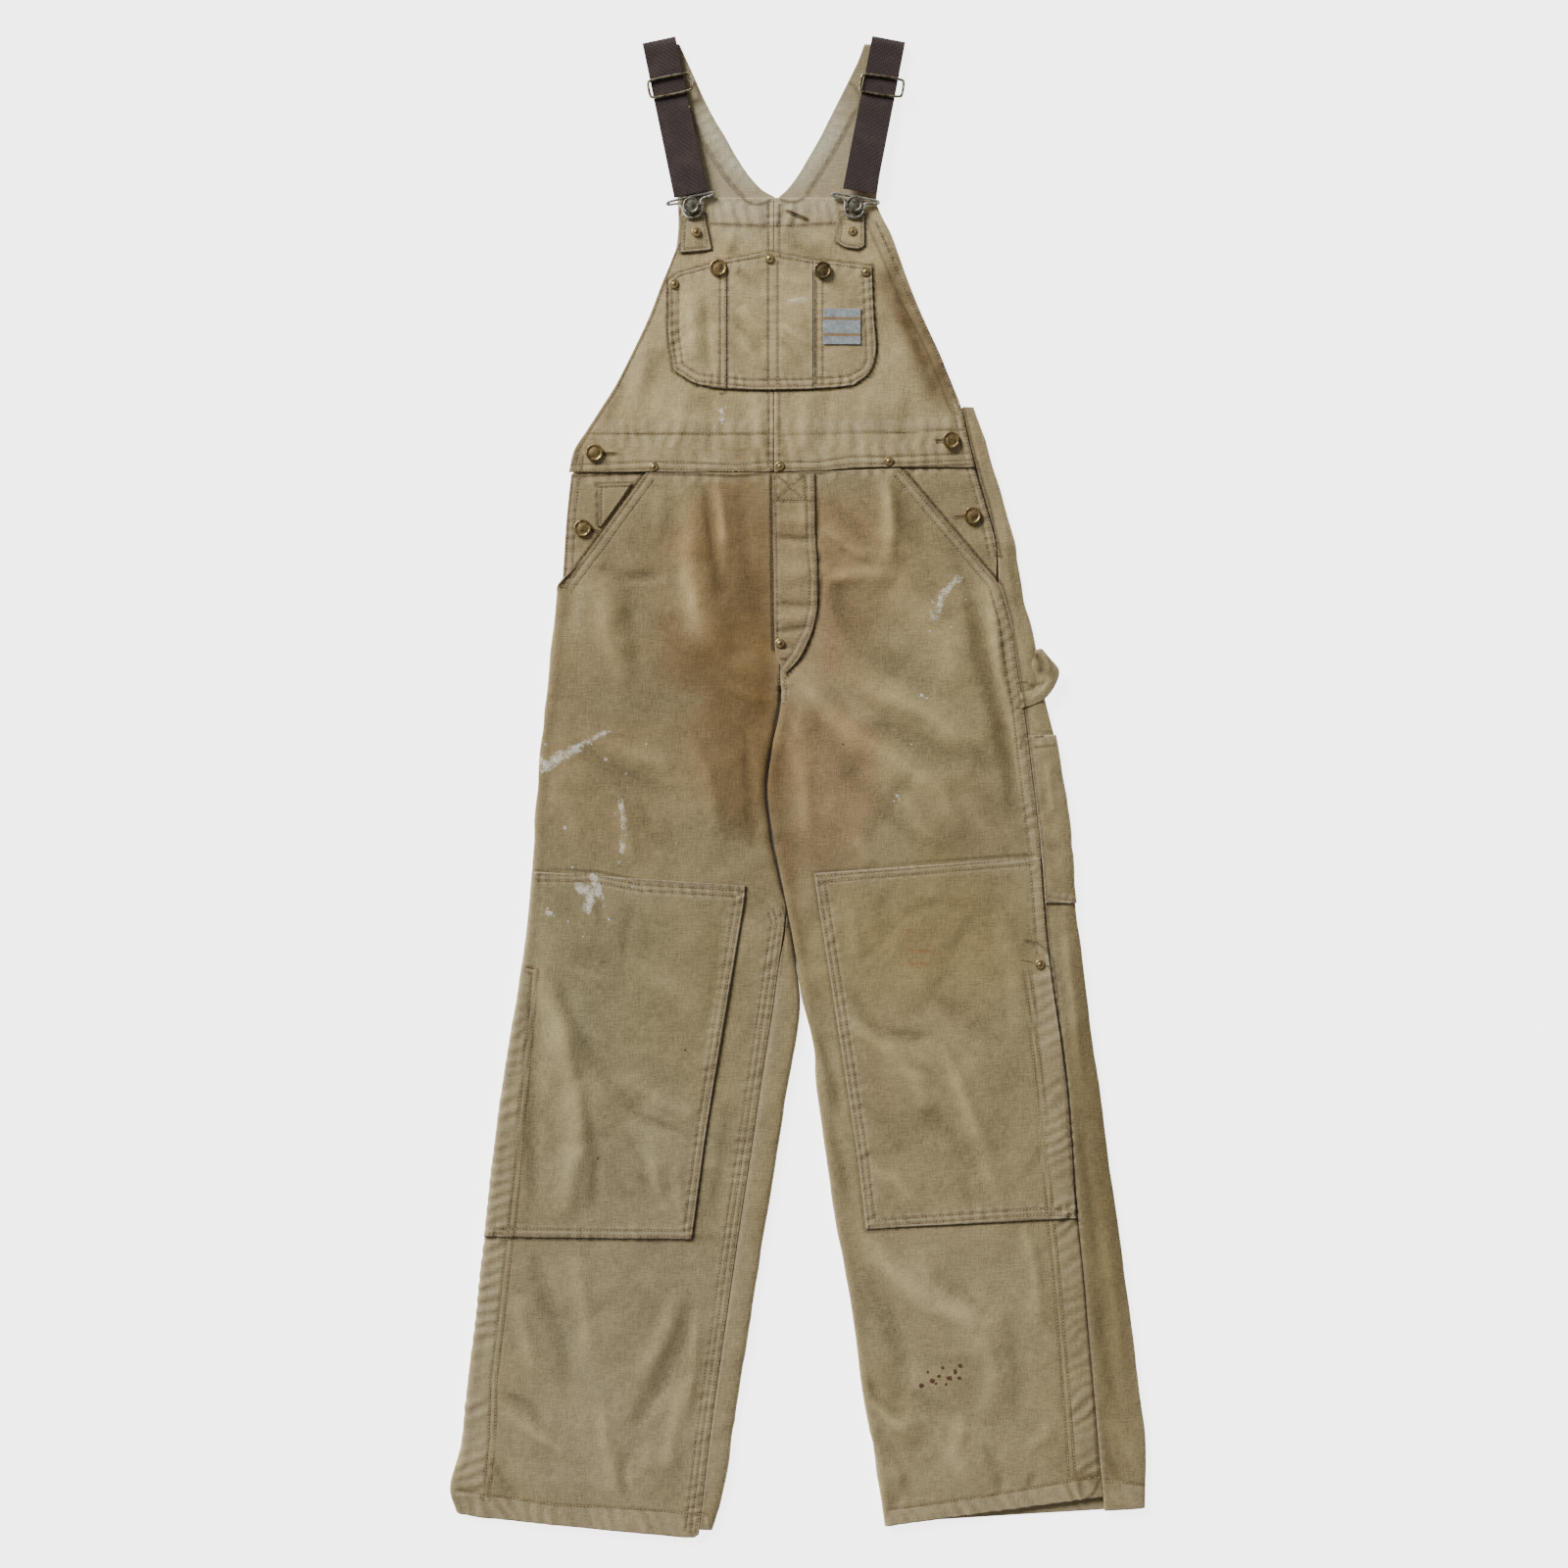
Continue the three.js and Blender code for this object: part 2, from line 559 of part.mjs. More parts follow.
// ---------- leg zips, seen under the edges of the plackets ----------
overalls.add(levelPiece("zip_left", [
  [[-252, -290], [-246, -290]],
  [[-282, -470], [-275, -470]],
  [[-306, -690], [-298, -690]],
  [[-320, -782], [-311, -782]],
], UNDER - 0.6, zipTape, 1.2));
overalls.add(levelPiece("zip_right", [
  [[252, -268], [259, -268]],
  [[276, -386], [283, -386]],
  [[292, -568], [299, -568]],
  [[309, -760], [316, -760]],
], UNDER - 0.2, zipTape, 1.2));

// ---------- hammer loop ----------
// A band caught in the outseam that has doubled back on itself, as [inner x, y, outer x, y, height].
const LOOP_PATH = [
  [232, 19.5, 236, -8, 8.4], [246, 20, 249, -4, 8.4], [256, 21, 260, 3, 9.2], [262, 26, 270, 17, 11.5],
  [262, 34, 272, 29, 13.5], [257, 42, 265, 40, 12], [252, 47, 257, 50, 9],
];
const loopGrid = LOOP_PATH.map(([xInner, yInner, xOuter, yOuter, height]) => {
  const inner = new THREE.Vector3(xInner, yInner, height);
  const outer = new THREE.Vector3(xOuter, yOuter, height);
  return [inner, inner.clone().lerp(outer, 0.5), outer];
});
overalls.add(wall("hammer_loop", loopGrid, -1, duck, 1.2));

// ---------- elastic straps, sliders, wire buckles ----------
const WEBBING = 1.6;
const STRAP_WIDTH = 33;
function strap(name, top, bottom) {
  const run = new THREE.Vector2(bottom[0] - top[0], bottom[1] - top[1]);
  const length = run.length();
  run.normalize();
  const aside = new THREE.Vector3(-run.y, run.x, 0).multiplyScalar(STRAP_WIDTH / 2);
  const turn = 2.65;
  const tail = 60;
  const stops = [[-tail, LAYER], [-turn - 6, LAYER]];
  for (const angle of [0, 36, 72, 108, 144, 180]) {
    const radians = (angle * Math.PI) / 180;
    stops.push([-turn + turn * Math.sin(radians), LAYER + turn * (1 - Math.cos(radians))]);
  }
  for (const [reach, height] of [[0.12, 7.05], [0.3, 7.05], [0.55, 7.4], [0.8, 9.4], [1, 9.8]]) {
    stops.push([-length * reach, height]);
  }
  const grid = stops.map(([back, height]) => {
    const centre = new THREE.Vector3(top[0] - run.x * back, top[1] - run.y * back, height);
    return [-1, 0, 1].map((share) => centre.clone().addScaledVector(aside, share));
  });
  return wall(name, grid, 1, webbingBrown, WEBBING);
}
overalls.add(strap("strap_left", [-120, 649], [-88.5, 496]));
overalls.add(strap("strap_right", [106, 650], [77, 499]));

function framed(centre, tilt, corners, height) {
  return corners.map(([x, y]) => {
    const corner = new THREE.Vector2(x, y).rotateAround(new THREE.Vector2(0, 0), tilt);
    return new THREE.Vector3(centre[0] + corner.x, centre[1] + corner.y, height);
  });
}
const SLIDER = [
  [-19, 9], [19, 9], [20.5, 7.5], [20.5, -7.5], [19, -9], [-19, -9], [-20.5, -7.5], [-20.5, 7.5],
];
overalls.add(wireLoop("slider_left", framed([-109, 603], 0.2, SLIDER, 8.7), 1.2, steelWire));
overalls.add(wireLoop("slider_right", framed([99, 603], -0.15, SLIDER, 8.7), 1.2, steelWire));
const BUCKLE = [
  [-22, 3], [22, 3], [23.5, 1], [20, -2.5], [9, -3.5], [7.5, -12], [4, -17],
  [-4, -17], [-7.5, -12], [-9, -3.5], [-20, -2.5], [-23.5, 1],
];
overalls.add(wireLoop("buckle_left", framed([-89, 491], 0.22, BUCKLE, 7.6), 1.1, steelWire));
overalls.add(wireLoop("buckle_right", framed([73, 491], -0.18, BUCKLE, 7.6), 1.1, steelWire));

// ---------- buttons and rivets ----------
const STUD = [[0, 0], [3, 0], [3, 4.6], [7.2, 5.1], [8.3, 6.1], [8.3, 6.7], [7, 7.4], [4, 7.7], [0, 7.4]];
const BUTTON = [[0, 0], [6, 0], [6.4, 0.8], [8, 1.2], [8.6, 2], [8.2, 2.9], [6, 3.4], [0, 3.1]];
const RIVET = [[0, 0], [4.4, 0], [4.6, 0.5], [3.6, 1.1], [2, 1.6], [0, 1.6]];
const OVER_BIB = BIB_HEIGHT + SEAM_GAP;
const OVER_POCKET = ON_BIB + SEAM_GAP;
const OVER_FRONT = TUBE + SEAM_GAP;
overalls.add(turned("strap_button_left", STUD, 16, -88, 485, OVER_BIB, oldBrass));
overalls.add(turned("strap_button_right", STUD, 16, 72, 486, OVER_BIB, oldBrass));
overalls.add(turned("pocket_button_left", BUTTON, 16, -61.5, 424.5, OVER_POCKET, oldBrass));
overalls.add(turned("pocket_button_right", BUTTON, 16, 41, 422, OVER_POCKET, oldBrass));
overalls.add(turned("side_button_left_upper", BUTTON, 16, -183, 243, TUBE, oldBrass));
overalls.add(turned("side_button_left_lower", BUTTON, 16, -194.7, 169, UNDER + SEAM_GAP, oldBrass));
overalls.add(turned("side_button_right_upper", BUTTON, 16, 167, 255.5, TUBE, oldBrass));
overalls.add(turned("side_button_right_lower", BUTTON, 16, 188, 181.5, UNDER + SEAM_GAP, oldBrass));
const RIVETS = [
  ["rivet_pocket_left", -105, 409, OVER_POCKET],
  ["rivet_pocket_centre", -11.4, 434, OVER_POCKET],
  ["rivet_pocket_right", 83, 421, OVER_POCKET],
  ["rivet_tab_left", -83.3, 460, OVER_POCKET],
  ["rivet_tab_right", 70, 461, OVER_POCKET],
  ["rivet_waist_left", -125, 229.5, TUBE + 0.4],
  ["rivet_waist_centre", -1, 230, TUBE + 0.4],
  ["rivet_waist_right", 106, 235, TUBE + 0.4],
  ["rivet_slash_right", 206, 108, OVER_FRONT],
  ["rivet_zip_right", 254, -259, OVER_FRONT + LAYER + 0.3],
  ["rivet_fly", -1, 56, OVER_FRONT + LAYER],
];
for (const [name, x, y, z] of RIVETS) {
  overalls.add(turned(name, RIVET, 10, x, y, z, oldBrass));
}

// ---------- stand it in its frame: bounding box bottom centre at the origin ----------
const box = new THREE.Box3().setFromObject(overalls);
const middleX = (box.min.x + box.max.x) / 2;
const middleY = (box.min.y + box.max.y) / 2;
overalls.traverse((mesh) => {
  if (mesh.isMesh) {
    mesh.geometry.translate(-middleX, -middleY, -box.min.z);
  }
});

export default overalls;
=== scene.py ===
import math
import bpy
import numpy as np
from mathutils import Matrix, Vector
from mathutils.bvhtree import BVHTree


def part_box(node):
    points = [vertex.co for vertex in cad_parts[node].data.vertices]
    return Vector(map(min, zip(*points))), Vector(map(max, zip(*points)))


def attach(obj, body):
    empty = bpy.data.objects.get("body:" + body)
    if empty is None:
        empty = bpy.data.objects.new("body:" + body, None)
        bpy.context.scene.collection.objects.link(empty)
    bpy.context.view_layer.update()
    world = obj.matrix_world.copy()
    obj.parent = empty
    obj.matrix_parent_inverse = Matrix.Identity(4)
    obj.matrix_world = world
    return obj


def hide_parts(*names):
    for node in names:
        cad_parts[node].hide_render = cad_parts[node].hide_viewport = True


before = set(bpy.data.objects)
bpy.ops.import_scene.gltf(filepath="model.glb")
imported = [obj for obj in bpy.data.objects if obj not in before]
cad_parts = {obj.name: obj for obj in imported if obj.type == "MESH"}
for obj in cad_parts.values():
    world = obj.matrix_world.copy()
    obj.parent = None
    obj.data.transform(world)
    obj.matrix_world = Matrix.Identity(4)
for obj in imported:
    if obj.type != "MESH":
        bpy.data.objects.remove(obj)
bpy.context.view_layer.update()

MM = 0.001
# The duck as it shows and the solids it is laid over, in millimetres.
DUCK_THICK = 1.25
SOLID_THICK = 1.4
# Lengths that differ by less than this, in metres, count as the same.
SAME_LENGTH = 1.5e-6
# Places on the garment are in millimetres from the crotch, across and up. It lies this far to
# the side of the bib's centre seam and this far below the bib's lower edge.
BIB_SEAM_TO_CROTCH = 7
BIB_EDGE_TO_CROTCH = 224.2
bib_low, bib_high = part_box("bib_left")
crotch = np.array([bib_high[0] + BIB_SEAM_TO_CROTCH * MM, bib_low[1] - BIB_EDGE_TO_CROTCH * MM])


def solid_of(node):
    """A solid's distinct corners, and its triangles as numbers into them."""
    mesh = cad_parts[node].data
    mesh.calc_loop_triangles()
    places, index = {}, []
    for vertex in mesh.vertices:
        place = tuple(round(c, 7) for c in vertex.co)
        index.append(places.setdefault(place, len(places)))
    faces = np.array([[index[i] for i in t.vertices] for t in mesh.loop_triangles])
    return np.array(list(places)), faces


def edges_of(face):
    a, b, c = face
    return (a, b), (b, c), (c, a)


def outer_side(points, faces, facing, thick):
    """The triangles of a solid's upper side (facing 1) or lower side (facing -1), without its rim."""
    corner = points[faces]
    upward = np.cross(corner[:, 1] - corner[:, 0], corner[:, 2] - corner[:, 0])[:, 2]
    sides = np.linalg.norm(corner - np.roll(corner, 1, axis=1), axis=2)
    # A rim triangle has one side as long as the solid is thick, so the search stops there.
    reached = (np.abs(sides - thick * MM) < SAME_LENGTH).any(axis=1)
    beside = {}
    for number, face in enumerate(faces):
        for edge in edges_of(face):
            beside.setdefault(frozenset(edge), []).append(number)
    best_score, best = -math.inf, []
    for start in range(len(faces)):
        if reached[start]:
            continue
        reached[start] = True
        waiting, members = [start], []
        while waiting:
            here = waiting.pop()
            members.append(here)
            for edge in edges_of(faces[here]):
                for there in beside[frozenset(edge)]:
                    if not reached[there]:
                        reached[there] = True
                        waiting.append(there)
        score = facing * upward[members].sum()
        if score > best_score:
            best_score, best = score, members
    return best


def panel_grid(node, facing, thick=SOLID_THICK):
    """The outer face of a panel as rows of points, top row first, left point first."""
    points, faces = solid_of(node)
    # For each edge of a triangle, the corner that follows it.
    follow, uses = {}, {}
    for number in outer_side(points, faces, facing, thick):
        a, b, c = faces[number] if facing > 0 else faces[number][::-1]
        for p, q, r in ((a, b, c), (b, c, a), (c, a, b)):
            follow[(p, q)] = r
            uses[p] = uses.get(p, 0) + 1
    starts = []
    for (p, q), r in follow.items():
        if uses[p] == 2 and (p, r) in follow:
            starts.append((points[p][1] - points[p][0], p, q, r))
    a, c = max(starts)[1:3]
    # The first strip of triangles gives two rows, and each later row is met across the last one.
    upper, lower = [a], [c]
    while (upper[-1], lower[-1]) in follow:
        d = follow[(upper[-1], lower[-1])]
        upper.append(follow[(upper[-1], d)])
        lower.append(d)
    rows = [upper, lower]
    while (rows[-1][1], rows[-1][0]) in follow:
        last = rows[-1]
        met = follow[(last[1], last[0])]
        row = [follow.get((met, last[0]), met)]
        for left, right in zip(last[:-1], last[1:]):
            met = follow[(right, left)]
            row.append(follow[(right, met)] if met == row[-1] else met)
        rows.append(row)
    return points[np.array(rows)]


def carried_through(points, spots, wanted):
    """A smooth cubic through the points, which lie along the first axis at the given spots."""
    gap = np.diff(spots)
    slope = np.diff(points, axis=0) / gap[:, None, None]
    inner = (gap[1:, None, None] * slope[:-1] + gap[:-1, None, None] * slope[1:])
    inner /= (gap[1:] + gap[:-1])[:, None, None]
    lean = np.concatenate([slope[:1], inner, slope[-1:]])
    cell = np.clip(np.searchsorted(spots, wanted, side="right") - 1, 0, len(gap) - 1)
    t = ((wanted - spots[cell]) / gap[cell])[:, None, None]
    g = gap[cell][:, None, None]
    return (
        points[cell] * (2 * t**3 - 3 * t**2 + 1) + points[cell + 1] * (3 * t**2 - 2 * t**3)
        + lean[cell] * g * (t**3 - 2 * t**2 + t) + lean[cell + 1] * g * (t**3 - t**2)
    )


def spacing(total, step, fine, bands):
    """Stations along a length: fine in a band at each end, where the stitching runs."""
    first, last = bands
    parts = [
        np.arange(0, first, fine),
        np.linspace(first, total - last, max(2, int((total - first - last) / step))),
        total - np.arange(0, last, fine)[::-1],
    ]
    return np.unique(np.concatenate(parts).round(7))


def spots_along(grid, axis, unit=1.0):
    """How far down (axis 0) or across (axis 1) the rows or columns of a grid lie, on average."""
    steps = np.linalg.norm(np.diff(grid, axis=axis), axis=2).mean(1 - axis) / unit
    return np.concatenate([[0], np.cumsum(steps)])


def fine_grid(grid, step=3.0, fine=1.4, across_bands=(14, 14), along_bands=(14, 14)):
    """A panel's grid carried through to close rows and columns, closest in the bands at its edges."""
    widest_band = 0.4
    down, across = spots_along(grid, 0), spots_along(grid, 1)
    for spots, edge_bands in ((down, along_bands), (across, across_bands)):
        bands = [min(band * MM, spots[-1] * widest_band) for band in edge_bands]
        grid = carried_through(grid, spots, spacing(spots[-1], step * MM, fine * MM, bands))
        grid = grid.transpose(1, 0, 2)
    return grid


def outward(grid, facing):
    """The way out of the cloth at each point of a grid."""
    across = np.gradient(grid, axis=1)
    along = np.gradient(grid, axis=0)
    normal = facing * np.cross(along, across)
    return normal / np.maximum(np.linalg.norm(normal, axis=2), 1e-12)[:, :, None]


def ripple(x, y, size, seed):
    """Smooth random rise and fall, from -1 to 1, of about the given size in millimetres."""
    values = np.random.default_rng(seed).uniform(-1, 1, (64, 64))
    u, v = x / size, y / size
    i, j = np.floor(u).astype(int), np.floor(v).astype(int)
    s, t = u - i, v - j
    s, t = s * s * (3 - 2 * s), t * t * (3 - 2 * t)
    near = values[i % 64, j % 64] * (1 - s) + values[(i + 1) % 64, j % 64] * s
    far = values[i % 64, (j + 1) % 64] * (1 - s) + values[(i + 1) % 64, (j + 1) % 64] * s
    return near * (1 - t) + far * t


def off_line(line, x, y):
    """Signed distance from a line (positive on its left) and how far along it, for each place."""
    best = np.full(x.shape, np.inf)
    signed = np.zeros(x.shape)
    travelled = np.zeros(x.shape)
    length = 0.0
    for (x1, y1), (x2, y2) in zip(line[:-1], line[1:]):
        run = math.hypot(x2 - x1, y2 - y1)
        ux, uy = (x2 - x1) / run, (y2 - y1) / run
        reach = np.clip((x - x1) * ux + (y - y1) * uy, 0, run)
        dx, dy = x - x1 - ux * reach, y - y1 - uy * reach
        away = np.hypot(dx, dy)
        nearer = away < best
        best = np.where(nearer, away, best)
        signed = np.where(nearer, np.where(ux * dy - uy * dx >= 0, away, -away), signed)
        travelled = np.where(nearer, length + reach, travelled)
        length += run
    return signed, travelled, length


def soft(value):
    """A smooth step from 0 to 1 as the value goes from 0 to 1."""
    held = np.clip(value, 0, 1)
    return held * held * (3 - 2 * held)


# Creases of the top side: points along each, half width on its left and right, height (below 0
# a trough).
CREASES = [
    # left thigh and hip
    ([(-64, 219), (-58, 179), (-53, 135)], 6, 9, 1.5),
    ([(-72, 215), (-68, 164), (-57, 101)], 7, 5, -1.4),
    ([(-90, 207), (-87, 150), (-79, 82), (-49, 45)], 13, 11, 2.2),
    ([(-121, 207), (-117, 164)], 8, 8, 0.8),
    ([(-41, 207), (-31, 130), (-24, 63)], 8, 8, -0.9),
    ([(-179, 128), (-152, 119), (-113, 123)], 6, 5, -1.5),
    ([(-174, 105), (-169, 63), (-152, 14)], 12, 10, 1.7),
    ([(-152, 111), (-142, 53), (-140, 14)], 9, 7, -0.9),
    ([(-200, -45), (-166, -69), (-121, -88), (-94, -94)], 7, 10, -1.6),
    ([(-171, -43), (-142, -55), (-103, -67)], 9, 8, 1.0),
    ([(-92, -36), (-72, -72), (-61, -130)], 7, 8, 1.3),
    ([(-161, -103), (-152, -130), (-142, -159)], 7, 6, 1.2),
    ([(-137, -101), (-127, -130), (-103, -152)], 7, 6, -0.9),
    ([(-229, -82), (-205, -111), (-198, -150)], 9, 8, 0.9),
    ([(-55, 14), (-26, 3), (-7, -1)], 6, 6, 0.9),
    ([(-34, -24), (-30, -82), (-25, -150)], 5, 6, -0.9),
    ([(-94, 72), (-55, 41), (-12, 14)], 8, 8, 0.9),
    # left knee and shin
    ([(-233, -261), (-216, -314), (-201, -381), (-197, -439), (-213, -509)], 9, 14, 1.9),
    ([(-214, -285), (-185, -343), (-161, -381)], 5, 8, -1.5),
    ([(-244, -280), (-242, -352), (-244, -420), (-242, -502)], 8, 6, -1.6),
    ([(-163, -379), (-134, -410), (-94, -427)], 4, 7, -1.7),
    ([(-152, -368), (-121, -393), (-84, -412)], 8, 6, 1.1),
    ([(-147, -203), (-152, -236), (-155, -261)], 5, 4, -0.9),
    ([(-179, -183), (-176, -236)], 5, 4, -0.7),
    ([(-205, -251), (-171, -261), (-142, -280)], 10, 8, -1.1),
    ([(-137, -261), (-103, -285), (-74, -314)], 12, 12, 1.0),
    ([(-190, -391), (-179, -449), (-184, -507)], 6, 5, -1.0),
    ([(-152, -420), (-136, -449), (-132, -482)], 6, 5, -0.9),
    ([(-124, -449), (-117, -487)], 5, 5, 0.8),
    ([(-103, -458), (-95, -516)], 5, 5, 0.7),
    ([(-53, -261), (-60, -314), (-70, -362)], 7, 6, 0.9),
    ([(-50, -400), (-56, -449), (-65, -507)], 6, 6, -0.8),
    ([(-243, -540), (-229, -593), (-213, -632), (-207, -680)], 9, 8, -1.6),
    ([(-260, -584), (-248, -632), (-240, -661)], 8, 7, 1.2),
    ([(-202, -545), (-192, -593), (-184, -661)], 8, 10, 1.0),
    ([(-88, -593), (-96, -632), (-117, -676), (-147, -719)], 6, 10, -1.7),
    ([(-101, -582), (-113, -622), (-137, -671)], 8, 8, 0.9),
    ([(-89, -661), (-103, -709), (-113, -758)], 8, 8, 1.2),
    ([(-269, -682), (-243, -697), (-229, -721)], 4, 6, -1.5),
    ([(-272, -700), (-243, -721), (-192, -752)], 7, 5, 1.3),
    ([(-243, -700), (-214, -733), (-187, -758)], 5, 5, -1.0),
    ([(-279, -750), (-270, -769), (-258, -785)], 3, 5, -1.3),
    ([(-176, -690), (-169, -738), (-161, -777)], 6, 6, 0.9),
    ([(-152, -738), (-154, -767), (-144, -788)], 4, 4, -0.9),
    ([(-132, -729), (-128, -758)], 8, 7, 0.9),
    ([(-82, -593), (-86, -661), (-94, -719)], 4, 4, 0.7),
    # right thigh and hip
    ([(18, 19), (43, -7), (72, -34), (114, -65), (159, -94), (184, -130)], 9, 13, 3.0),
    ([(54, 115), (67, 80), (88, 49), (126, 24), (152, 11)], 11, 10, -2.4),
    ([(69, 24), (99, 3), (142, -14), (201, -51)], 13, 12, 2.2),
    ([(95, -22), (128, -41), (182, -65)], 9, 9, -1.8),
    ([(38, 135), (49, 119), (80, 123), (114, 121)], 8, 9, 1.5),
    ([(43, 169), (63, 152), (85, 138)], 6, 5, 1.3),
    ([(47, 196), (67, 174), (90, 150)], 7, 6, -1.6),
    ([(104, 217), (108, 179), (107, 135)], 6, 8, 2.0),
    ([(119, 212), (126, 179), (143, 145)], 9, 8, -2.2),
    ([(22, 207), (24, 169)], 4, 4, 0.8),
    ([(99, 111), (128, 90), (162, 53), (181, 14)], 15, 14, 1.9),
    ([(172, 150), (188, 99), (196, 45), (213, -14), (227, -72), (230, -121)], 11, 8, -2.4),
    ([(206, 125), (209, 72), (215, 24), (230, -29), (240, -101)], 6, 7, 1.8),
    ([(22, 0), (46, -43), (80, -82), (114, -121)], 9, 9, -1.4),
    ([(14, -19), (22, -72), (28, -140)], 8, 7, 1.5),
    ([(8, -24), (18, -43), (24, -63)], 4, 4, -0.9),
    ([(104, -111), (124, -130), (143, -152)], 5, 5, -1.1),
    ([(121, -94), (138, -123), (159, -146)], 6, 6, 1.0),
    ([(181, -92), (201, -125), (220, -148)], 8, 8, 1.2),
    ([(72, -135), (85, -152), (92, -161)], 6, 6, 1.4),
    ([(157, -14), (181, -34), (206, -72)], 7, 7, -1.0),
    # right knee and shin
    ([(69, -280), (85, -310), (104, -328), (150, -331)], 4, 8, -1.7),
    ([(67, -319), (99, -339), (133, -372), (148, -405)], 9, 7, 2.0),
    ([(159, -341), (175, -376), (191, -420), (210, -458)], 7, 6, 1.6),
    ([(152, -294), (186, -316), (217, -343)], 9, 8, -1.5),
    ([(124, -357), (148, -367), (172, -396)], 5, 5, -1.1),
    ([(80, -391), (104, -420), (124, -449)], 6, 6, -1.0),
    ([(84, -458), (114, -473), (138, -499)], 6, 5, 1.1),
    ([(138, -400), (172, -434), (196, -468)], 8, 7, -1.2),
    ([(196, -449), (213, -482), (220, -505)], 6, 6, 0.9),
    ([(181, -463), (189, -507)], 5, 5, -0.8),
    ([(215, -207), (230, -265), (234, -333)], 10, 8, 1.0),
    ([(70, -207), (76, -261)], 6, 6, 0.8),
    ([(99, -193), (104, -236)], 10, 9, -0.7),
    ([(40, -333), (53, -372), (59, -410)], 5, 5, -1.3),
    ([(47, -410), (63, -458), (69, -497)], 5, 5, -1.0),
    ([(82, -528), (114, -565), (146, -595), (196, -615)], 11, 9, 2.4),
    ([(80, -555), (101, -593), (119, -642), (123, -680), (162, -702)], 8, 10, -1.9),
    ([(152, -565), (181, -586), (206, -608)], 6, 6, -1.2),
    ([(239, -516), (250, -555), (254, -613)], 6, 7, 1.3),
    ([(196, -622), (210, -661), (201, -709)], 10, 10, 1.1),
    ([(225, -603), (234, -661), (234, -709)], 8, 8, -0.9),
    ([(88, -669), (99, -690), (124, -709)], 4, 5, -1.6),
    ([(90, -688), (111, -709), (133, -729)], 7, 5, 1.8),
    ([(104, -729), (124, -758), (128, -786)], 6, 6, -0.9),
    ([(181, -700), (172, -738), (186, -767)], 7, 7, 1.1),
    ([(201, -733), (215, -758), (217, -782)], 5, 5, -1.0),
    ([(239, -738), (259, -724), (265, -709)], 6, 6, 1.0),
    ([(249, -758), (244, -777)], 4, 4, -0.9),
    # bib, its pocket and the fly
    ([(-89, 400), (-84, 333)], 7, 7, 1.3),
    ([(-103, 400), (-101, 333)], 4, 4, -0.9),
    ([(-74, 400), (-70, 323)], 4, 4, -0.8),
    ([(-43, 422), (-16, 399)], 4, 5, -1.4),
    ([(-41, 386), (-14, 357)], 5, 5, 1.3),
    ([(-43, 370), (-14, 341)], 3, 4, -0.9),
    ([(-43, 357), (-16, 325)], 5, 5, 1.0),
    ([(0, 352), (27, 327)], 4, 4, -1.1),
    ([(1, 368), (30, 347)], 4, 4, 0.9),
    ([(-1, 415), (28, 408)], 6, 6, 0.8),
    ([(51, 410), (72, 400)], 5, 5, -0.7),
    ([(-41, 302), (-31, 234)], 6, 6, -1.1),
    ([(-24, 302), (-18, 236)], 6, 6, 0.9),
    ([(44, 302), (41, 244)], 6, 6, -1.1),
    ([(24, 299), (24, 244)], 6, 6, 0.9),
    ([(-94, 302), (-105, 236)], 8, 8, 0.9),
    ([(-69, 299), (-72, 236)], 5, 5, -0.8),
    ([(82, 302), (90, 236)], 8, 8, 0.9),
    ([(108, 437), (121, 391), (138, 343), (155, 299)], 6, 7, -1.5),
    ([(-78, 462), (-74, 435)], 5, 5, -0.8),
    ([(-47, 462), (-53, 439)], 6, 6, 0.8),
    ([(14, 462), (17, 441)], 5, 5, -0.8),
    ([(37, 460), (51, 437)], 6, 6, 0.8),
    ([(-132, 352), (-144, 275)], 8, 8, 0.9),
    ([(-152, 318), (-169, 265)], 6, 6, -0.8),
    ([(126, 304), (124, 236)], 6, 6, -0.9),
    ([(-5, 160), (34, 156)], 3, 4, -1.7),
    ([(-5, 177), (34, 175)], 8, 8, 1.2),
    ([(-5, 126), (36, 123)], 10, 9, 1.2),
    ([(-5, 94), (36, 90)], 4, 3, -1.7),
    ([(-5, 80), (34, 80)], 6, 6, 1.1),
    ([(-4, 67), (28, 71)], 3, 3, -1.4),
    ([(-3, 53), (17, 51)], 3, 3, -1.2),
    # back of the right leg, where it shows on top
    ([(201, 265), (213, 207), (225, 150)], 4, 5, 1.2),
    ([(225, 150), (234, 92), (240, 53)], 4, 4, -0.9),
    ([(262, -63), (267, -111)], 4, 4, 1.0),
    ([(271, -207), (277, -275), (285, -333)], 5, 5, -1.0),
    ([(281, -236), (289, -314), (296, -381)], 4, 5, 1.2),
    ([(294, -410), (304, -487), (312, -555)], 5, 4, -1.0),
    ([(317, -507), (327, -584), (337, -661)], 5, 6, 1.2),
    ([(312, -584), (323, -661), (333, -700)], 4, 5, -1.2),
    ([(321, -704), (341, -729), (354, -758)], 5, 5, 1.3),
    ([(317, -709), (325, -748), (341, -777)], 3, 4, -1.1),
]
# Creases of the hidden underside of the legs.
UNDER_CREASES = [
    ([(-150, 40), (-90, -20), (-30, -40)], 10, 12, 1.0),
    ([(40, 20), (110, -30), (190, -90)], 12, 10, 1.0),
    ([(-200, -300), (-150, -380), (-110, -400)], 9, 9, 0.9),
    ([(70, -330), (150, -390), (230, -400)], 9, 9, 0.9),
]


def around(line, x, y, reach):
    """Which places lie within reach of a line's own box."""
    px, py = np.array(line).T
    across = (x > px.min() - reach) & (x < px.max() + reach)
    return across & (y > py.min() - reach) & (y < py.max() + reach)


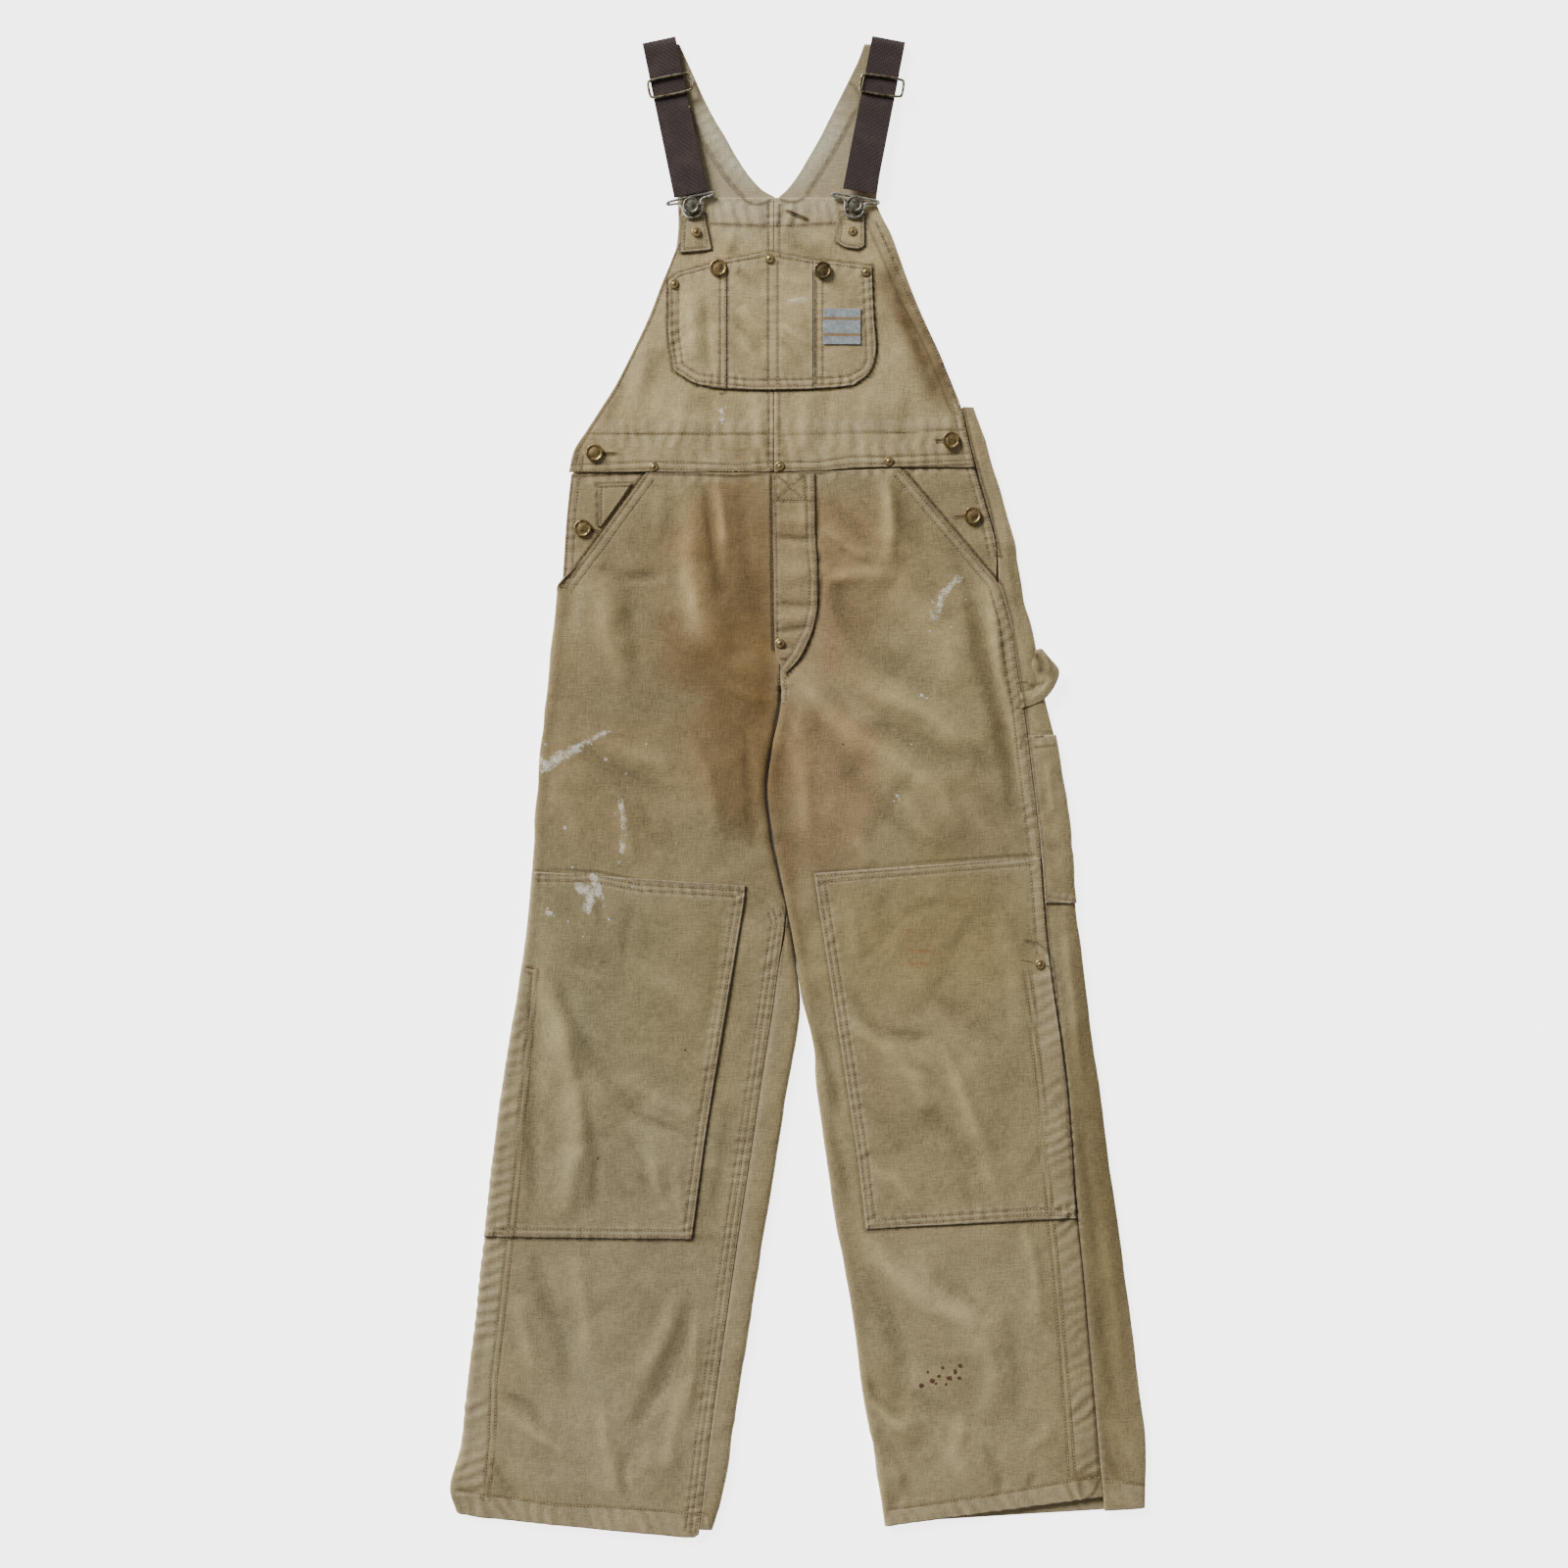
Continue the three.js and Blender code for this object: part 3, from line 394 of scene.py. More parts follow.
def crease_height(creases, x, y):
    """The height of all creases together at each place, in millimetres."""
    height = np.zeros(x.shape)
    for line, left_width, right_width, rise in creases:
        here = around(line, x, y, 2.6 * max(left_width, right_width))
        if not here.any():
            continue
        px, py = x[here], y[here]
        signed, travelled, length = off_line(line, px, py)
        width = np.where(signed > 0, left_width, right_width)
        width = width * (1 + 0.18 * ripple(px, py, size=23, seed=5))
        to_end = np.minimum(travelled, length - travelled) / (0.3 * length)
        ends = np.sqrt(np.clip(to_end + 0.02, 0, 1))
        height[here] += rise * np.exp(-((signed / width) ** 2)) * ends
    return height


def relief_on_top(x, y):
    """How far the cloth stands off its plain form, in millimetres, the same for every layer."""
    slow = 0.8 * ripple(x + 0.4 * y, y, size=47, seed=1)
    slow = slow + 0.45 * ripple(x, y - 0.3 * x, size=21, seed=2)
    ridges = np.maximum(0.4 - np.abs(ripple(x + 0.6 * y, 0.7 * y, size=43, seed=21)), 0)
    troughs = np.maximum(0.35 - np.abs(ripple(0.8 * x - 0.5 * y, y, size=57, seed=22)), 0)
    where = soft(0.6 + 0.6 * ripple(x, y, size=90, seed=31))
    crumpled = 2.3 * (ridges - troughs) * where
    return 1.75 * crease_height(CREASES, x, y) + slow + crumpled + 0.15 * ripple(x, y, size=8, seed=3)


# One row of stitches on the line itself, with no puckers.
FLAT_ROW = ((0,), 0, 9, 0, (-1, 1))
# Seams of the top side. Each: its line from the crotch, the stitch rows' offsets from it (left of
# the way it runs is positive), then the puckers' height, length, slant and band.
SEAMS = {
    "inseam_left": ([(0, -203), (4, -217), (-9, -306), (-20, -380), (-27, -427), (-40, -510),
        (-59, -648), (-70, -727), (-81, -818)], (-2.5, -8, -13.5), 0.45, 11, 0.5, (-16, 0)),
    "outseam_right": ([(216, 113), (225, 80), (232, 35), (239, -10), (255, -140), (259, -195),
        (263, -248)],
        (-2.6, -12), 0.4, 10, 0.4, (-14, 0)),
    "vent_right": ([(177, 292), (190, 235), (203, 192), (214, 142)], (-2.8, -9), 0.3, 9, 0, (-10, 0)),
    "vent_left": ([(-203, 244), (-208, 222), (-212, 188), (-214, 150), (-215, 121)], (3.5, 10),
        0.3, 9, 0, (0, 12)),
    "slash_left": ([(-133, 223), (-214, 112)], (2.6, 9.5), 0.25, 9, 0.3, (0, 11)),
    "slash_right": ([(118, 228), (213, 116)], (-2.6, -9.5), 0.25, 9, 0.3, (-11, 0)),
    "waist": ([(-207, 222), (-133, 225), (-85, 224), (-44, 222), (-14, 225), (36, 225), (69, 230),
        (102, 230), (191, 234)], (2.6, 9.5), 0.7, 15, 0.2, (-9, 22)),
    "facing": ([(-189, 263), (-94, 262), (3, 262), (99, 263), (181, 267)], (0,), 0.6, 14, 0, (-14, 12)),
    "bib_centre": ([(-7, 489), (-7, 437)], (-5.5, 5.5), 0.3, 9, 0, (-8, 8)),
    "bib_centre_low": ([(-7, 305), (-7, 227)], (-5.5, 5.5), 0.3, 9, 0, (-8, 8)),
    "bib_top": ([(-72, 469), (-10, 467), (61, 470)], (0,), 0.6, 13, 0.2, (-3, 20)),
    "bib_side_left": ([(-101, 453), (-114, 420), (-128, 381), (-146, 343), (-166, 304), (-191, 265),
        (-202, 246)],
        (2.8,), 0.25, 10, 0, (0, 8)),
    "bib_side_right": ([(96, 472), (111, 439), (127, 400), (148, 362), (165, 323), (176, 293)], (-3,),
        0.35, 10, 0, (-5, 0)),
    "v_left": ([(-75, 591), (-61, 559), (-40, 526), (-23, 507)], (-17,), 0.6, 11, 0.2, (-18, 0)),
    "v_right": ([(58, 591), (43, 562), (24, 530), (10, 509)], (17,), 0.6, 11, 0.2, (0, 18)),
    "fly_right": ([(33, 222), (34, 156), (37, 121), (36, 90), (30, 66), (17, 41), (5, 25)],
        (-2.4, -8.5), 0.25, 9, 0, (-10, 0)),
    "fly_left": ([(-8, 223), (-7, 111), (-6, 51)], (2.4,), 0.2, 9, 0, (0, 6)),
    "fly_cross_one": ([(-4, 221), (22, 198)], *FLAT_ROW),
    "fly_cross_two": ([(22, 221), (-4, 198)], *FLAT_ROW),
    "fly_box": ([(-5, 221), (-5, 197), (23, 197), (23, 221)], *FLAT_ROW),
    "fly_end": ([(-7, 195), (34, 195)], (0,), 0.2, 9, 0, (-3, 3)),
    "crotch": ([(1, 24), (2, -1)], (-3, 3), 0.3, 8, 0, (-6, 6)),
    "pocket_edge": ([(-110, 413), (-110, 361), (-105, 325), (-83, 311), (-31, 306), (31, 307),
        (69, 310), (88, 321), (93, 334), (89, 427)], (2.6, 9), 0.6, 9, 0.3, (0, 12)),
    "pocket_top": ([(89, 426), (46, 432), (29, 433), (-11, 440), (-44, 434), (-64, 430), (-99, 420),
        (-110, 414)], (2.6,), 0.45, 10, 0, (0, 10)),
    "pocket_pen": ([(-60, 419), (-60, 309)], (0, 6), 0.3, 9, 0, (-4, 10)),
    "pocket_middle": ([(-13, 433), (-13, 309)], (0, 10), 0.3, 9, 0, (-4, 14)),
    "pocket_right": ([(35, 419), (35, 309)], (0, 6), 0.3, 9, 0, (-4, 10)),
    "knee_left": ([(-240, -168), (-184, -169), (-138, -178), (-35, -184), (-73, -417), (-88, -529),
        (-259, -527), (-287, -526)], (-2.6, -8.5), 0.6, 10, 0.3, (-12, 0)),
    "knee_right": ([(247, -152), (33, -170), (56, -317), (76, -447), (84, -519), (218, -509),
        (258, -507), (292, -508)], (2.6, 8.5), 0.6, 10, 0.3, (0, 12)),
    "placket_left": ([(-251, -262), (-241, -266), (-247, -324), (-256, -427), (-264, -510),
        (-282, -667), (-284, -727), (-290, -786)], (-3, 3), 0.5, 13, 0.5, (-30, -4)),
    "placket_right": ([(242, -263), (254, -386), (258, -451), (269, -549), (279, -667), (286, -762)],
        (-3, 3), 0.5, 13, 0.5, (4, 30)),
    "hem_left": ([(-317, -776), (-219, -790), (-146, -793), (-69, -800)], (0,),
        0.65, 14, 0.55, (-22, -1)),
    "hem_right": ([(102, -795), (207, -780), (291, -765), (313, -763)], (0,), 0.65, 14, 0.55, (-22, -1)),
    "hem_back_right": ([(320, -766), (358, -770)], (0,), 0.8, 12, 0.6, (-22, -1)),
    "coin_top": ([(-179, 212), (-144, 213)], (-2.4,), 0.15, 8, 0, (-5, 0)),
    "coin_side": ([(-179, 212), (-179, 173)], (2.4,), 0.15, 8, 0, (0, 5)),
    "tool_top": ([(248, -46), (271, -44)], (0,), 0.3, 8, 0, (0, 12)),
    "tab_left": ([(-96, 474), (-75, 477), (-69, 444), (-98, 441), (-96, 474)], (-2.2,),
        0.1, 8, 0, (-4, 0)),
    "tab_right": ([(60, 479), (81, 476), (82, 447), (77, 444), (62, 446), (55, 451),
        (60, 479)], (-2.2,), 0.1, 8, 0, (-4, 0)),
    "tab_fold_left": ([(-96, 471), (-74, 473)], (0,), 0, 8, 0, (-1, 1)),
    "tab_fold_right": ([(60, 473), (81, 471)], (0,), 0, 8, 0, (-1, 1)),
    "slit_top": ([(-179, 242), (-162, 242)], *FLAT_ROW),
    "slit_left": ([(-190, 168), (-179, 166)], *FLAT_ROW),
    "slit_right": ([(161, 255), (152, 255)], *FLAT_ROW),
    "slit_low": ([(182, 181), (171, 180)], *FLAT_ROW),
    "slit_bib": ([(6, 481), (27, 472)], *FLAT_ROW),
    "tool_end": ([(260, -195), (289, -200)], (3,), 0.2, 8, 0, (0, 8)),
}


# Painted shadow lines where one edge lies over the next layer: the seam, how far to its side, and how
# dark.
GAPS = [
    ("pocket_edge", -1.7, 1.8), ("knee_left", 1.6, 1.2), ("knee_right", -1.6, 1.2),
    ("waist", -1.8, 1.5), ("slash_left", -1.6, 1.9), ("slash_right", 1.6, 1.9),
    ("fly_right", 1.6, 1.7), ("fly_left", -1.9, 2.4), ("bib_side_left", -1.4, 1.0),
    ("inseam_left", 1.4, 1.2), ("outseam_right", 1.4, 1.3), ("vent_right", 1.4, 1.4),
    ("coin_side", -1.2, 1.6), ("coin_top", 1.2, 1.2), ("pocket_pen", 7.5, 1.5),
    ("pocket_right", -1.8, 1.6), ("tool_top", 13, 1.2), ("tab_left", 1.5, 1.5),
    ("tab_right", 1.5, 1.5), ("placket_right", 26, 1.4), ("tool_end", -1.5, 1.2),
    ("pocket_top", -1.4, 1.3), ("v_left", -19.5, 1.3), ("v_right", 19.5, 1.3),
    ("bib_side_right", -12, 1.0), ("bib_top", -1.5, 1.2), ("fly_cross_one", 0, 1.1),
    ("fly_cross_two", 0, 1.1), ("fly_box", 0, 1.1), ("fly_end", 0, 1.2),
]
# Painted shade in each buttonhole's open slit.
GAPS += [(name, 0, 1.9) for name in SEAMS if name.startswith("slit")]


def seam_relief(x, y):
    """Puckers beside each seam, the painted shade at its stitch grooves and under overlapping edges, and
    how rubbed its ridge is.
    """
    height, near, bright = np.zeros((3,) + x.shape)
    for number, (line, rows, rise, length, slant, (low, high)) in enumerate(SEAMS.values()):
        here = around(line, x, y, max(-low, high, 0) + 5)
        if not here.any():
            continue
        px, py = x[here], y[here]
        signed, travelled, total = off_line(line, px, py)
        inside = soft((signed - low + 2) / 3) * soft((high + 2 - signed) / 3)
        inside *= soft(travelled / 4) * soft((total - travelled) / 4)
        wander = travelled + slant * (signed - low) + 6 * ripple(px, py, size=27, seed=40 + number)
        strength = 0.65 + 0.5 * ripple(travelled, signed * 0, size=17, seed=80 + number)
        height[here] += rise * np.sin(2 * math.pi * wander / length) * strength * inside
        ends = (travelled > 0.01) & (travelled < total - 0.01)
        # Painted shade in each row's stitch groove, and fainter painted shade over the seam's band.
        for row in rows:
            close = np.exp(-(((signed - row) / 1.3) ** 2)) * ends
            near[here] = np.maximum(near[here], 1.35 * close)
            height[here] -= 0.3 * close
        near[here] = np.maximum(near[here], 0.2 * inside * ends)
        ridge = np.cos(2 * math.pi * wander / length) * 0.22 * strength + 0.3
        bright[here] = np.maximum(bright[here], inside * ends * ridge)
        if len(rows) > 1:
            middle = (rows[0] + rows[1]) / 2
            crest = np.exp(-(((signed - middle) / 1.8) ** 2)) * ends
            worn = (0.34 + 0.25 * ripple(px, py, size=9, seed=61)) * crest
            bright[here] = np.maximum(bright[here], worn)
    # Painted shadow along each edge that lies over the next layer.
    for name, offset, strength in GAPS:
        line = SEAMS[name][0]
        here = around(line, x, y, abs(offset) + 5)
        if here.any():
            signed = off_line(line, x[here], y[here])[0]
            dark = strength * np.exp(-(((signed - offset) / 1.9) ** 2))
            near[here] = np.maximum(near[here], dark)
    return height, near, bright


# Heights in millimetres round the fold of a leg: below the first, cloth has the underside's
# creases, and above the second those of the top.
FOLD_LOW = 1.2
FOLD_HIGH = 3.4
# The outer points and faces of every cloth piece, for the stitches and specks to be laid on.
skins = []


def shell(name, outer, inner, facing):
    """A closed mesh between an outer and an inner grid, smooth but for its rim."""
    rows, columns = outer.shape[:2]
    behind = rows * columns
    place = np.arange(behind).reshape(rows, columns)
    a, b, c, d = place[:-1, :-1], place[:-1, 1:], place[1:, :-1], place[1:, 1:]
    front = np.stack([a, c, d, b], -1).reshape(-1, 4)
    rim = []
    for edge in (place[0], place[::-1, 0], place[-1, ::-1], place[:, -1]):
        p, q = edge[:-1], edge[1:]
        rim.append(np.stack([p, q, q + behind, p + behind], -1))
    faces = np.concatenate([front, front[:, ::-1] + behind] + rim)
    if facing < 0:
        faces = faces[:, ::-1]
    points = np.concatenate([outer.reshape(-1, 3), inner.reshape(-1, 3)])
    skins.append((points[:behind], faces[:len(front)]))
    mesh = bpy.data.meshes.new(name)
    mesh.vertices.add(len(points))
    mesh.vertices.foreach_set("co", points.ravel())
    mesh.loops.add(faces.size)
    mesh.loops.foreach_set("vertex_index", faces.ravel())
    mesh.polygons.add(len(faces))
    mesh.polygons.foreach_set("loop_start", np.arange(0, faces.size, 4))
    mesh.polygons.foreach_set("loop_total", np.full(len(faces), 4))
    mesh.update(calc_edges=True)
    smooth = np.ones(len(faces), bool)
    smooth[2 * len(front):] = False
    mesh.polygons.foreach_set("use_smooth", smooth)
    return mesh


def store(mesh, name, values):
    """Keeps a number at each point of a mesh, for its material to read."""
    layer = mesh.attributes.new(name, "FLOAT", "POINT")
    layer.data.foreach_set("value", values.astype(np.float32))


def placed(name, data):
    """A new object in the scene."""
    made = bpy.data.objects.new(name, data)
    bpy.context.scene.collection.objects.link(made)
    return made


def cloth(name, grid, facing, thickness=DUCK_THICK, relief=1.0, under=False, sink=2.9, rubbed=1.0):
    """A shell of cloth on a fine grid: creased along its outward normals, then given its thickness."""
    normal = outward(grid, facing)
    x = (grid[:, :, 0] - crotch[0]) / MM
    y = (grid[:, :, 1] - crotch[1]) / MM
    on_top = np.ones(x.shape)
    if under:
        on_top = soft((grid[:, :, 2] / MM - FOLD_LOW) / (FOLD_HIGH - FOLD_LOW))
    wrinkle = relief_on_top(x, y) * relief
    wrinkle = np.where(wrinkle < 0, -sink * np.tanh(-wrinkle / sink), wrinkle)
    pucker, near, bright = seam_relief(x, y)
    rise = (wrinkle + pucker) * on_top
    if under:
        hidden = 0.5 * crease_height(CREASES, -x, y) + crease_height(UNDER_CREASES, x, y)
        lifted = np.clip(0.5 + 0.4 * ripple(x, y, size=60, seed=9) + hidden, 0, 2)
        rise = rise - (1 - on_top) * lifted
    outer = grid + normal * (rise * MM)[:, :, None]
    outer[:, :, 2] = np.maximum(outer[:, :, 2], 0.1 * MM)
    inner = outer - outward(outer, facing) * thickness * MM
    if under:
        inner[:, :, 2] = np.maximum(inner[:, :, 2], 0.3 * MM)
    mesh = shell(name, outer, inner, facing)
    # The seam value is painted shade at stitch grooves and under overlapping edges.
    twice = [np.tile(values.ravel(), 2) for values in (x, y, rise, near * on_top)]
    store_wear_and_shade(mesh, *twice, np.repeat([0.0, 1.0], x.size))
    down, over = spots_along(outer, 0, MM), spots_along(outer, 1, MM)
    to_row_end = np.minimum(down, down[-1] - down)[:, None]
    to_column_end = np.minimum(over, over[-1] - over)[None, :]
    border = np.minimum(to_row_end, to_column_end)
    worn = np.maximum(rubbed * np.exp(-((border / 2.4) ** 2)), 0.8 * bright * on_top)
    store(mesh, "edge", np.tile(worn.ravel(), 2))
    return placed(name, mesh)


# Where the duck has faded, soiled or browned: place, reach across and along, colour, strength.
DUCK_COLOUR = (150, 134, 106)
TONES = [
    (-41, 372, 240, 170, (187, 167, 133), 0.95),
    (-7, 482, 120, 22, (190, 172, 142), 0.5),
    (-180, 261, 40, 40, (160, 140, 108), 0.5),
    (3, 246, 220, 22, (168, 148, 114), 0.6),
    (-152, 92, 90, 120, (150, 131, 102), 0.8),
    (-43, 121, 66, 140, (128, 104, 74), 0.85),
    (-39, -24, 60, 120, (120, 97, 67), 0.88),
    (-152, -82, 90, 80, (144, 125, 96), 0.7),
    (-214, 14, 30, 160, (153, 134, 104), 0.6),
    (70, 111, 62, 110, (145, 120, 90), 0.7),
    (128, 150, 60, 70, (150, 130, 98), 0.6),
    (157, -5, 100, 120, (156, 139, 108), 0.8),
    (47, -82, 56, 110, (146, 122, 94), 0.75),
    (186, -130, 60, 50, (136, 119, 92), 0.6),
    (-190, -285, 80, 110, (152, 139, 110), 0.8),
    (-103, -285, 60, 90, (140, 126, 98), 0.7),
    (-152, -458, 90, 80, (149, 136, 110), 0.8),
    (148, -236, 110, 80, (144, 126, 92), 0.8),
    (157, -391, 100, 100, (153, 136, 107), 0.8),
    (-152, -593, 120, 90, (150, 136, 111), 0.8),
    (-171, -729, 130, 70, (156, 141, 116), 0.8),
    (177, -603, 120, 90, (156, 140, 112), 0.8),
    (186, -738, 120, 70, (154, 138, 110), 0.8),
    (234, 92, 26, 120, (160, 142, 112), 0.6),
    (310, -468, 36, 360, (116, 100, 72), 0.8),
    (14, 82, 26, 90, (162, 141, 112), 0.85),
    (-16, 555, 110, 90, (178, 166, 140), 0.8),
]
# Soiled or rubbed lines, painted shade in fold troughs and gaps, and painted highlight with wear on fold
# ridges: where, half width, colour, strength.
RUBS_AND_FOLD_SHADE = [
    ([(-82, 593), (-67, 559), (-45, 526), (-20, 497)], 8, (216, 210, 188), 0.95),
    ([(65, 593), (49, 559), (30, 528), (3, 497)], 8, (216, 210, 188), 0.95),
    ([(5, 391), (16, 394), (28, 393)], 1.7, (226, 218, 198), 0.95),
    # On the hammer loop: painted shade in the opening by the leg and along its twist, and a pale line
    # along its fold.
    ([(248, 49), (254, 38), (255, 24)], 4, (62, 50, 34), 0.95),
    ([(238, 11), (250, 16), (263, 18)], 1.8, (78, 64, 44), 0.8),
    ([(260, 47), (265, 34), (263, 22)], 2, (96, 80, 56), 0.7),
    ([(242, -1), (254, 9), (267, 24)], 1.8, (190, 174, 142), 0.7),
    ([(-137, 217), (-217, 119)], 3, (178, 160, 128), 0.5),
    ([(123, 223), (213, 119)], 3, (178, 160, 128), 0.5),
    ([(-94, 400), (-97, 352), (-90, 323)], 12, (176, 158, 126), 0.4),
    ([(24, 400), (28, 352), (14, 318)], 12, (140, 122, 94), 0.5),
    ([(-45, 400), (-50, 352), (-36, 314)], 14, (142, 124, 96), 0.5),
    ([(72, 410), (76, 391), (72, 323)], 10, (142, 124, 96), 0.5),
    ([(-26, 372), (-21, 323)], 10, (138, 118, 88), 0.45),
    ([(-60, 454), (-43, 437)], 7, (136, 118, 90), 0.55),
    ([(-36, 460), (-16, 443)], 6, (204, 188, 156), 0.5),
    ([(9, 451), (28, 439), (47, 449)], 7, (140, 122, 94), 0.5),
    ([(-53, 304), (-60, 273), (-72, 251)], 8, (150, 130, 98), 0.5),
    ([(-229, 24), (-233, -43), (-240, -121)], 7, (120, 106, 80), 0.45),
    ([(-103, 92), (-132, 53), (-173, 41)], 7, (124, 104, 74), 0.4),
    # Painted highlight and wear on the right thigh's fold ridges, and painted shade in the trough below
    # them.
    ([(51, 24), (80, -14), (128, -34)], 9, (170, 152, 122), 0.45),
    ([(99, 72), (138, 45), (181, 38)], 8, (172, 154, 124), 0.45),
    ([(80, -53), (128, -82), (196, -88)], 8, (126, 108, 80), 0.35),
    ([(-205, -265), (-190, -333), (-186, -420)], 12, (162, 148, 122), 0.5),
    ([(-74, -207), (-60, -256), (-67, -314)], 9, (124, 106, 76), 0.45),
    ([(-229, -593), (-190, -661), (-152, -700)], 12, (160, 148, 124), 0.45),
    ([(-142, -565), (-127, -622)], 10, (132, 118, 94), 0.4),
    ([(128, -555), (181, -603), (206, -661)], 12, (164, 148, 120), 0.45),
    ([(99, -642), (114, -709)], 9, (136, 120, 92), 0.4),
    ([(80, -275), (95, -352), (99, -429)], 10, (136, 118, 86), 0.45),
    ([(177, -275), (196, -352)], 12, (162, 144, 112), 0.4),
    # Along the bib's right edge: its dark hem band, and painted shade inside it.
    ([(99, 463), (111, 437), (128, 396), (150, 352), (165, 312), (172, 275)], 7, (92, 70, 44), 0.85),
    ([(93, 437), (113, 391), (132, 352), (149, 312), (159, 281)], 11, (98, 75, 47), 0.85),
    ([(-72, 462), (-72, 437)], 6, (120, 104, 78), 0.4),
    ([(-94, 489), (-7, 486), (90, 489)], 8, (206, 192, 164), 0.6),
    ([(-200, 251), (-200, 232)], 9, (120, 100, 70), 0.5),
    ([(-171, 232), (-94, 233), (-16, 233), (61, 236), (157, 240)], 4, (186, 170, 138), 0.5),
    ([(-190, 150), (-198, 111), (-204, 53)], 8, (176, 160, 130), 0.5),
    # Painted highlight and wear on the left hip's fold ridges.
    ([(-103, 150), (-94, 111), (-82, 63)], 9, (178, 156, 120), 0.5),
    ([(-60, 207), (-55, 150)], 5, (190, 164, 126), 0.5),
    ([(-26, 150), (-18, 92), (-14, 24), (-26, -43)], 12, (104, 80, 48), 0.6),
    # Painted highlight and wear on the right hip's fold ridges, and painted shade in the trough beside
    # them.
    ([(105, 212), (111, 150)], 6, (178, 158, 124), 0.5),
    ([(206, 121), (210, 58), (225, -5)], 5, (178, 160, 128), 0.5),
    ([(181, 111), (194, 53), (213, -24), (229, -82)], 7, (108, 88, 58), 0.5),
    # Painted shade along the inner edges where the legs meet below the crotch.
    ([(-14, -24), (-14, -82), (-8, -140), (0, -179)], 8, (100, 78, 48), 0.6),
    ([(3, -14), (-1, -72), (3, -130), (14, -207), (24, -285)], 7, (112, 90, 60), 0.5),
    ([(-74, -449), (-88, -526)], 8, (120, 104, 78), 0.4),
    ([(119, -244), (162, -248)], 1.5, (140, 92, 66), 0.6),
    ([(121, -260), (148, -258)], 1.5, (140, 92, 66), 0.5),
    ([(114, -227), (165, -225)], 1.5, (140, 96, 70), 0.4),
    ([(254, -43), (263, -140), (275, -236)], 5, (120, 100, 70), 0.4),
    ([(312, -468), (331, -613), (350, -738)], 6, (124, 106, 78), 0.4),
    ([(-287, -555), (-294, -661), (-308, -758)], 7, (168, 154, 128), 0.4),
]
# Dry brushed paint: the line of each smear, its half width, and how thickly it lies.
SMEARS = [
    ([(-232, -66), (-217, -55), (-200, -47)], 6, 1.0),
    ([(-214, -51), (-190, -41), (-169, -29)], 4, 0.75),
    ([(-235, -58), (-229, -65)], 5, 0.8),
    ([(-159, -94), (-154, -119), (-156, -148)], 4, 0.75),
    ([(-152, -130), (-159, -159)], 4, 0.5),
    ([(-198, -183), (-186, -190), (-190, -204)], 6, 1.1),
    ([(-184, -172), (-179, -190)], 5, 0.95),
    ([(-178, -179), (-173, -203)], 3, 0.6),
    ([(-230, -207), (-223, -212)], 3, 0.9),
    ([(-59, 286), (-58, 274)], 4, 0.75),
    ([(173, 119), (159, 105), (152, 80)], 5, 0.8),
    ([(181, 123), (172, 115)], 4, 0.6),
    ([(148, 99), (147, 78)], 3, 0.55),
    ([(-174, -55), (-169, -60)], 3, 0.6),
    ([(-214, -123), (-209, -128)], 3, 0.6),
    ([(111, -90), (117, -99)], 3, 0.5),
    ([(134, 6), (144, 3)], 2.5, 0.6),
]


def seen(colour):
    """A colour as seen on the cloth, from 0 to 255, to the light it reflects."""
    share = np.array(colour) / 255
    return np.where(share <= 0.04045, share / 12.92, ((share + 0.055) / 1.055) ** 2.4)


def fuller(colour, share=1.2):
    """The same colour with its hue made stronger and a little greener, as the lit cloth looks."""
    light = seen(colour) * np.array([0.965, 1.0, 0.965])
    grey = light @ np.array([0.2126, 0.7152, 0.0722])
    return np.clip(grey + (light - grey) * share, 0.001, 1)


def rgba(colour):
    return tuple(float(c) for c in seen(colour)) + (1.0,)


def paint_amount(x, y):
    """How thickly brushed paint lies at each place."""
    amount = np.zeros(x.shape)
    for line, width, thick in SMEARS:
        here = around(line, x, y, 3 * width)
        if here.any():
            away = off_line(line, x[here], y[here])[0]
            amount[here] = np.maximum(amount[here], thick * np.exp(-((away / width) ** 2)))
    return amount


def worn_and_shaded_colour(x, y):
    """The duck's colour at each place, faded, soiled and rubbed, with painted shade and highlight along
    folds and edges.
    """
    tone = np.tile(fuller(DUCK_COLOUR), (len(x), 1))
    uneven = 0.22 * ripple(x, y, size=38, seed=11)
    finer = 0.12 * ripple(x, y, size=15, seed=12)
    for cx, cy, across, along, colour, strength in TONES:
        u, v = (x - cx) / across, (y - cy) / along
        edge = np.sqrt(u * u + v * v) + uneven + finer
        share = (strength * soft(1.45 - edge))[:, None]
        tone = tone * (1 - share) + fuller(colour) * share
    for line, width, colour, strength in RUBS_AND_FOLD_SHADE:
        here = around(line, x, y, 2.5 * width)
        if here.any():
            signed, travelled, length = off_line(line, x[here], y[here])
            ends = soft(np.minimum(travelled, length - travelled) / (0.25 * length) + 0.1)
            patchy = 0.85 + 0.3 * ripple(x[here], y[here], size=12, seed=14)
            share = strength * np.exp(-((signed / width) ** 2)) * ends * patchy
            share = np.clip(share, 0, 1)[:, None]
            tone[here] = tone[here] * (1 - share) + fuller(colour) * share
    return tone


def store_wear_and_shade(mesh, x, y, rise, near, inside):
    """Keeps the cloth's colour with its painted fold shade and highlight, its creases, the painted shade
    at its seams, its inner side and paint at each point of its mesh.
    """
    tone = np.concatenate([worn_and_shaded_colour(x, y), np.ones((len(x), 1))], 1)
    colour = mesh.color_attributes.new("tone", "FLOAT_COLOR", "POINT")
    colour.data.foreach_set("color", tone.astype(np.float32).ravel())
    store(mesh, "rise", rise)
    # Painted shade at the stitches and under overlapping edges.
    store(mesh, "seam", near)
    store(mesh, "inside", inside)
    store(mesh, "paint", paint_amount(x, y))


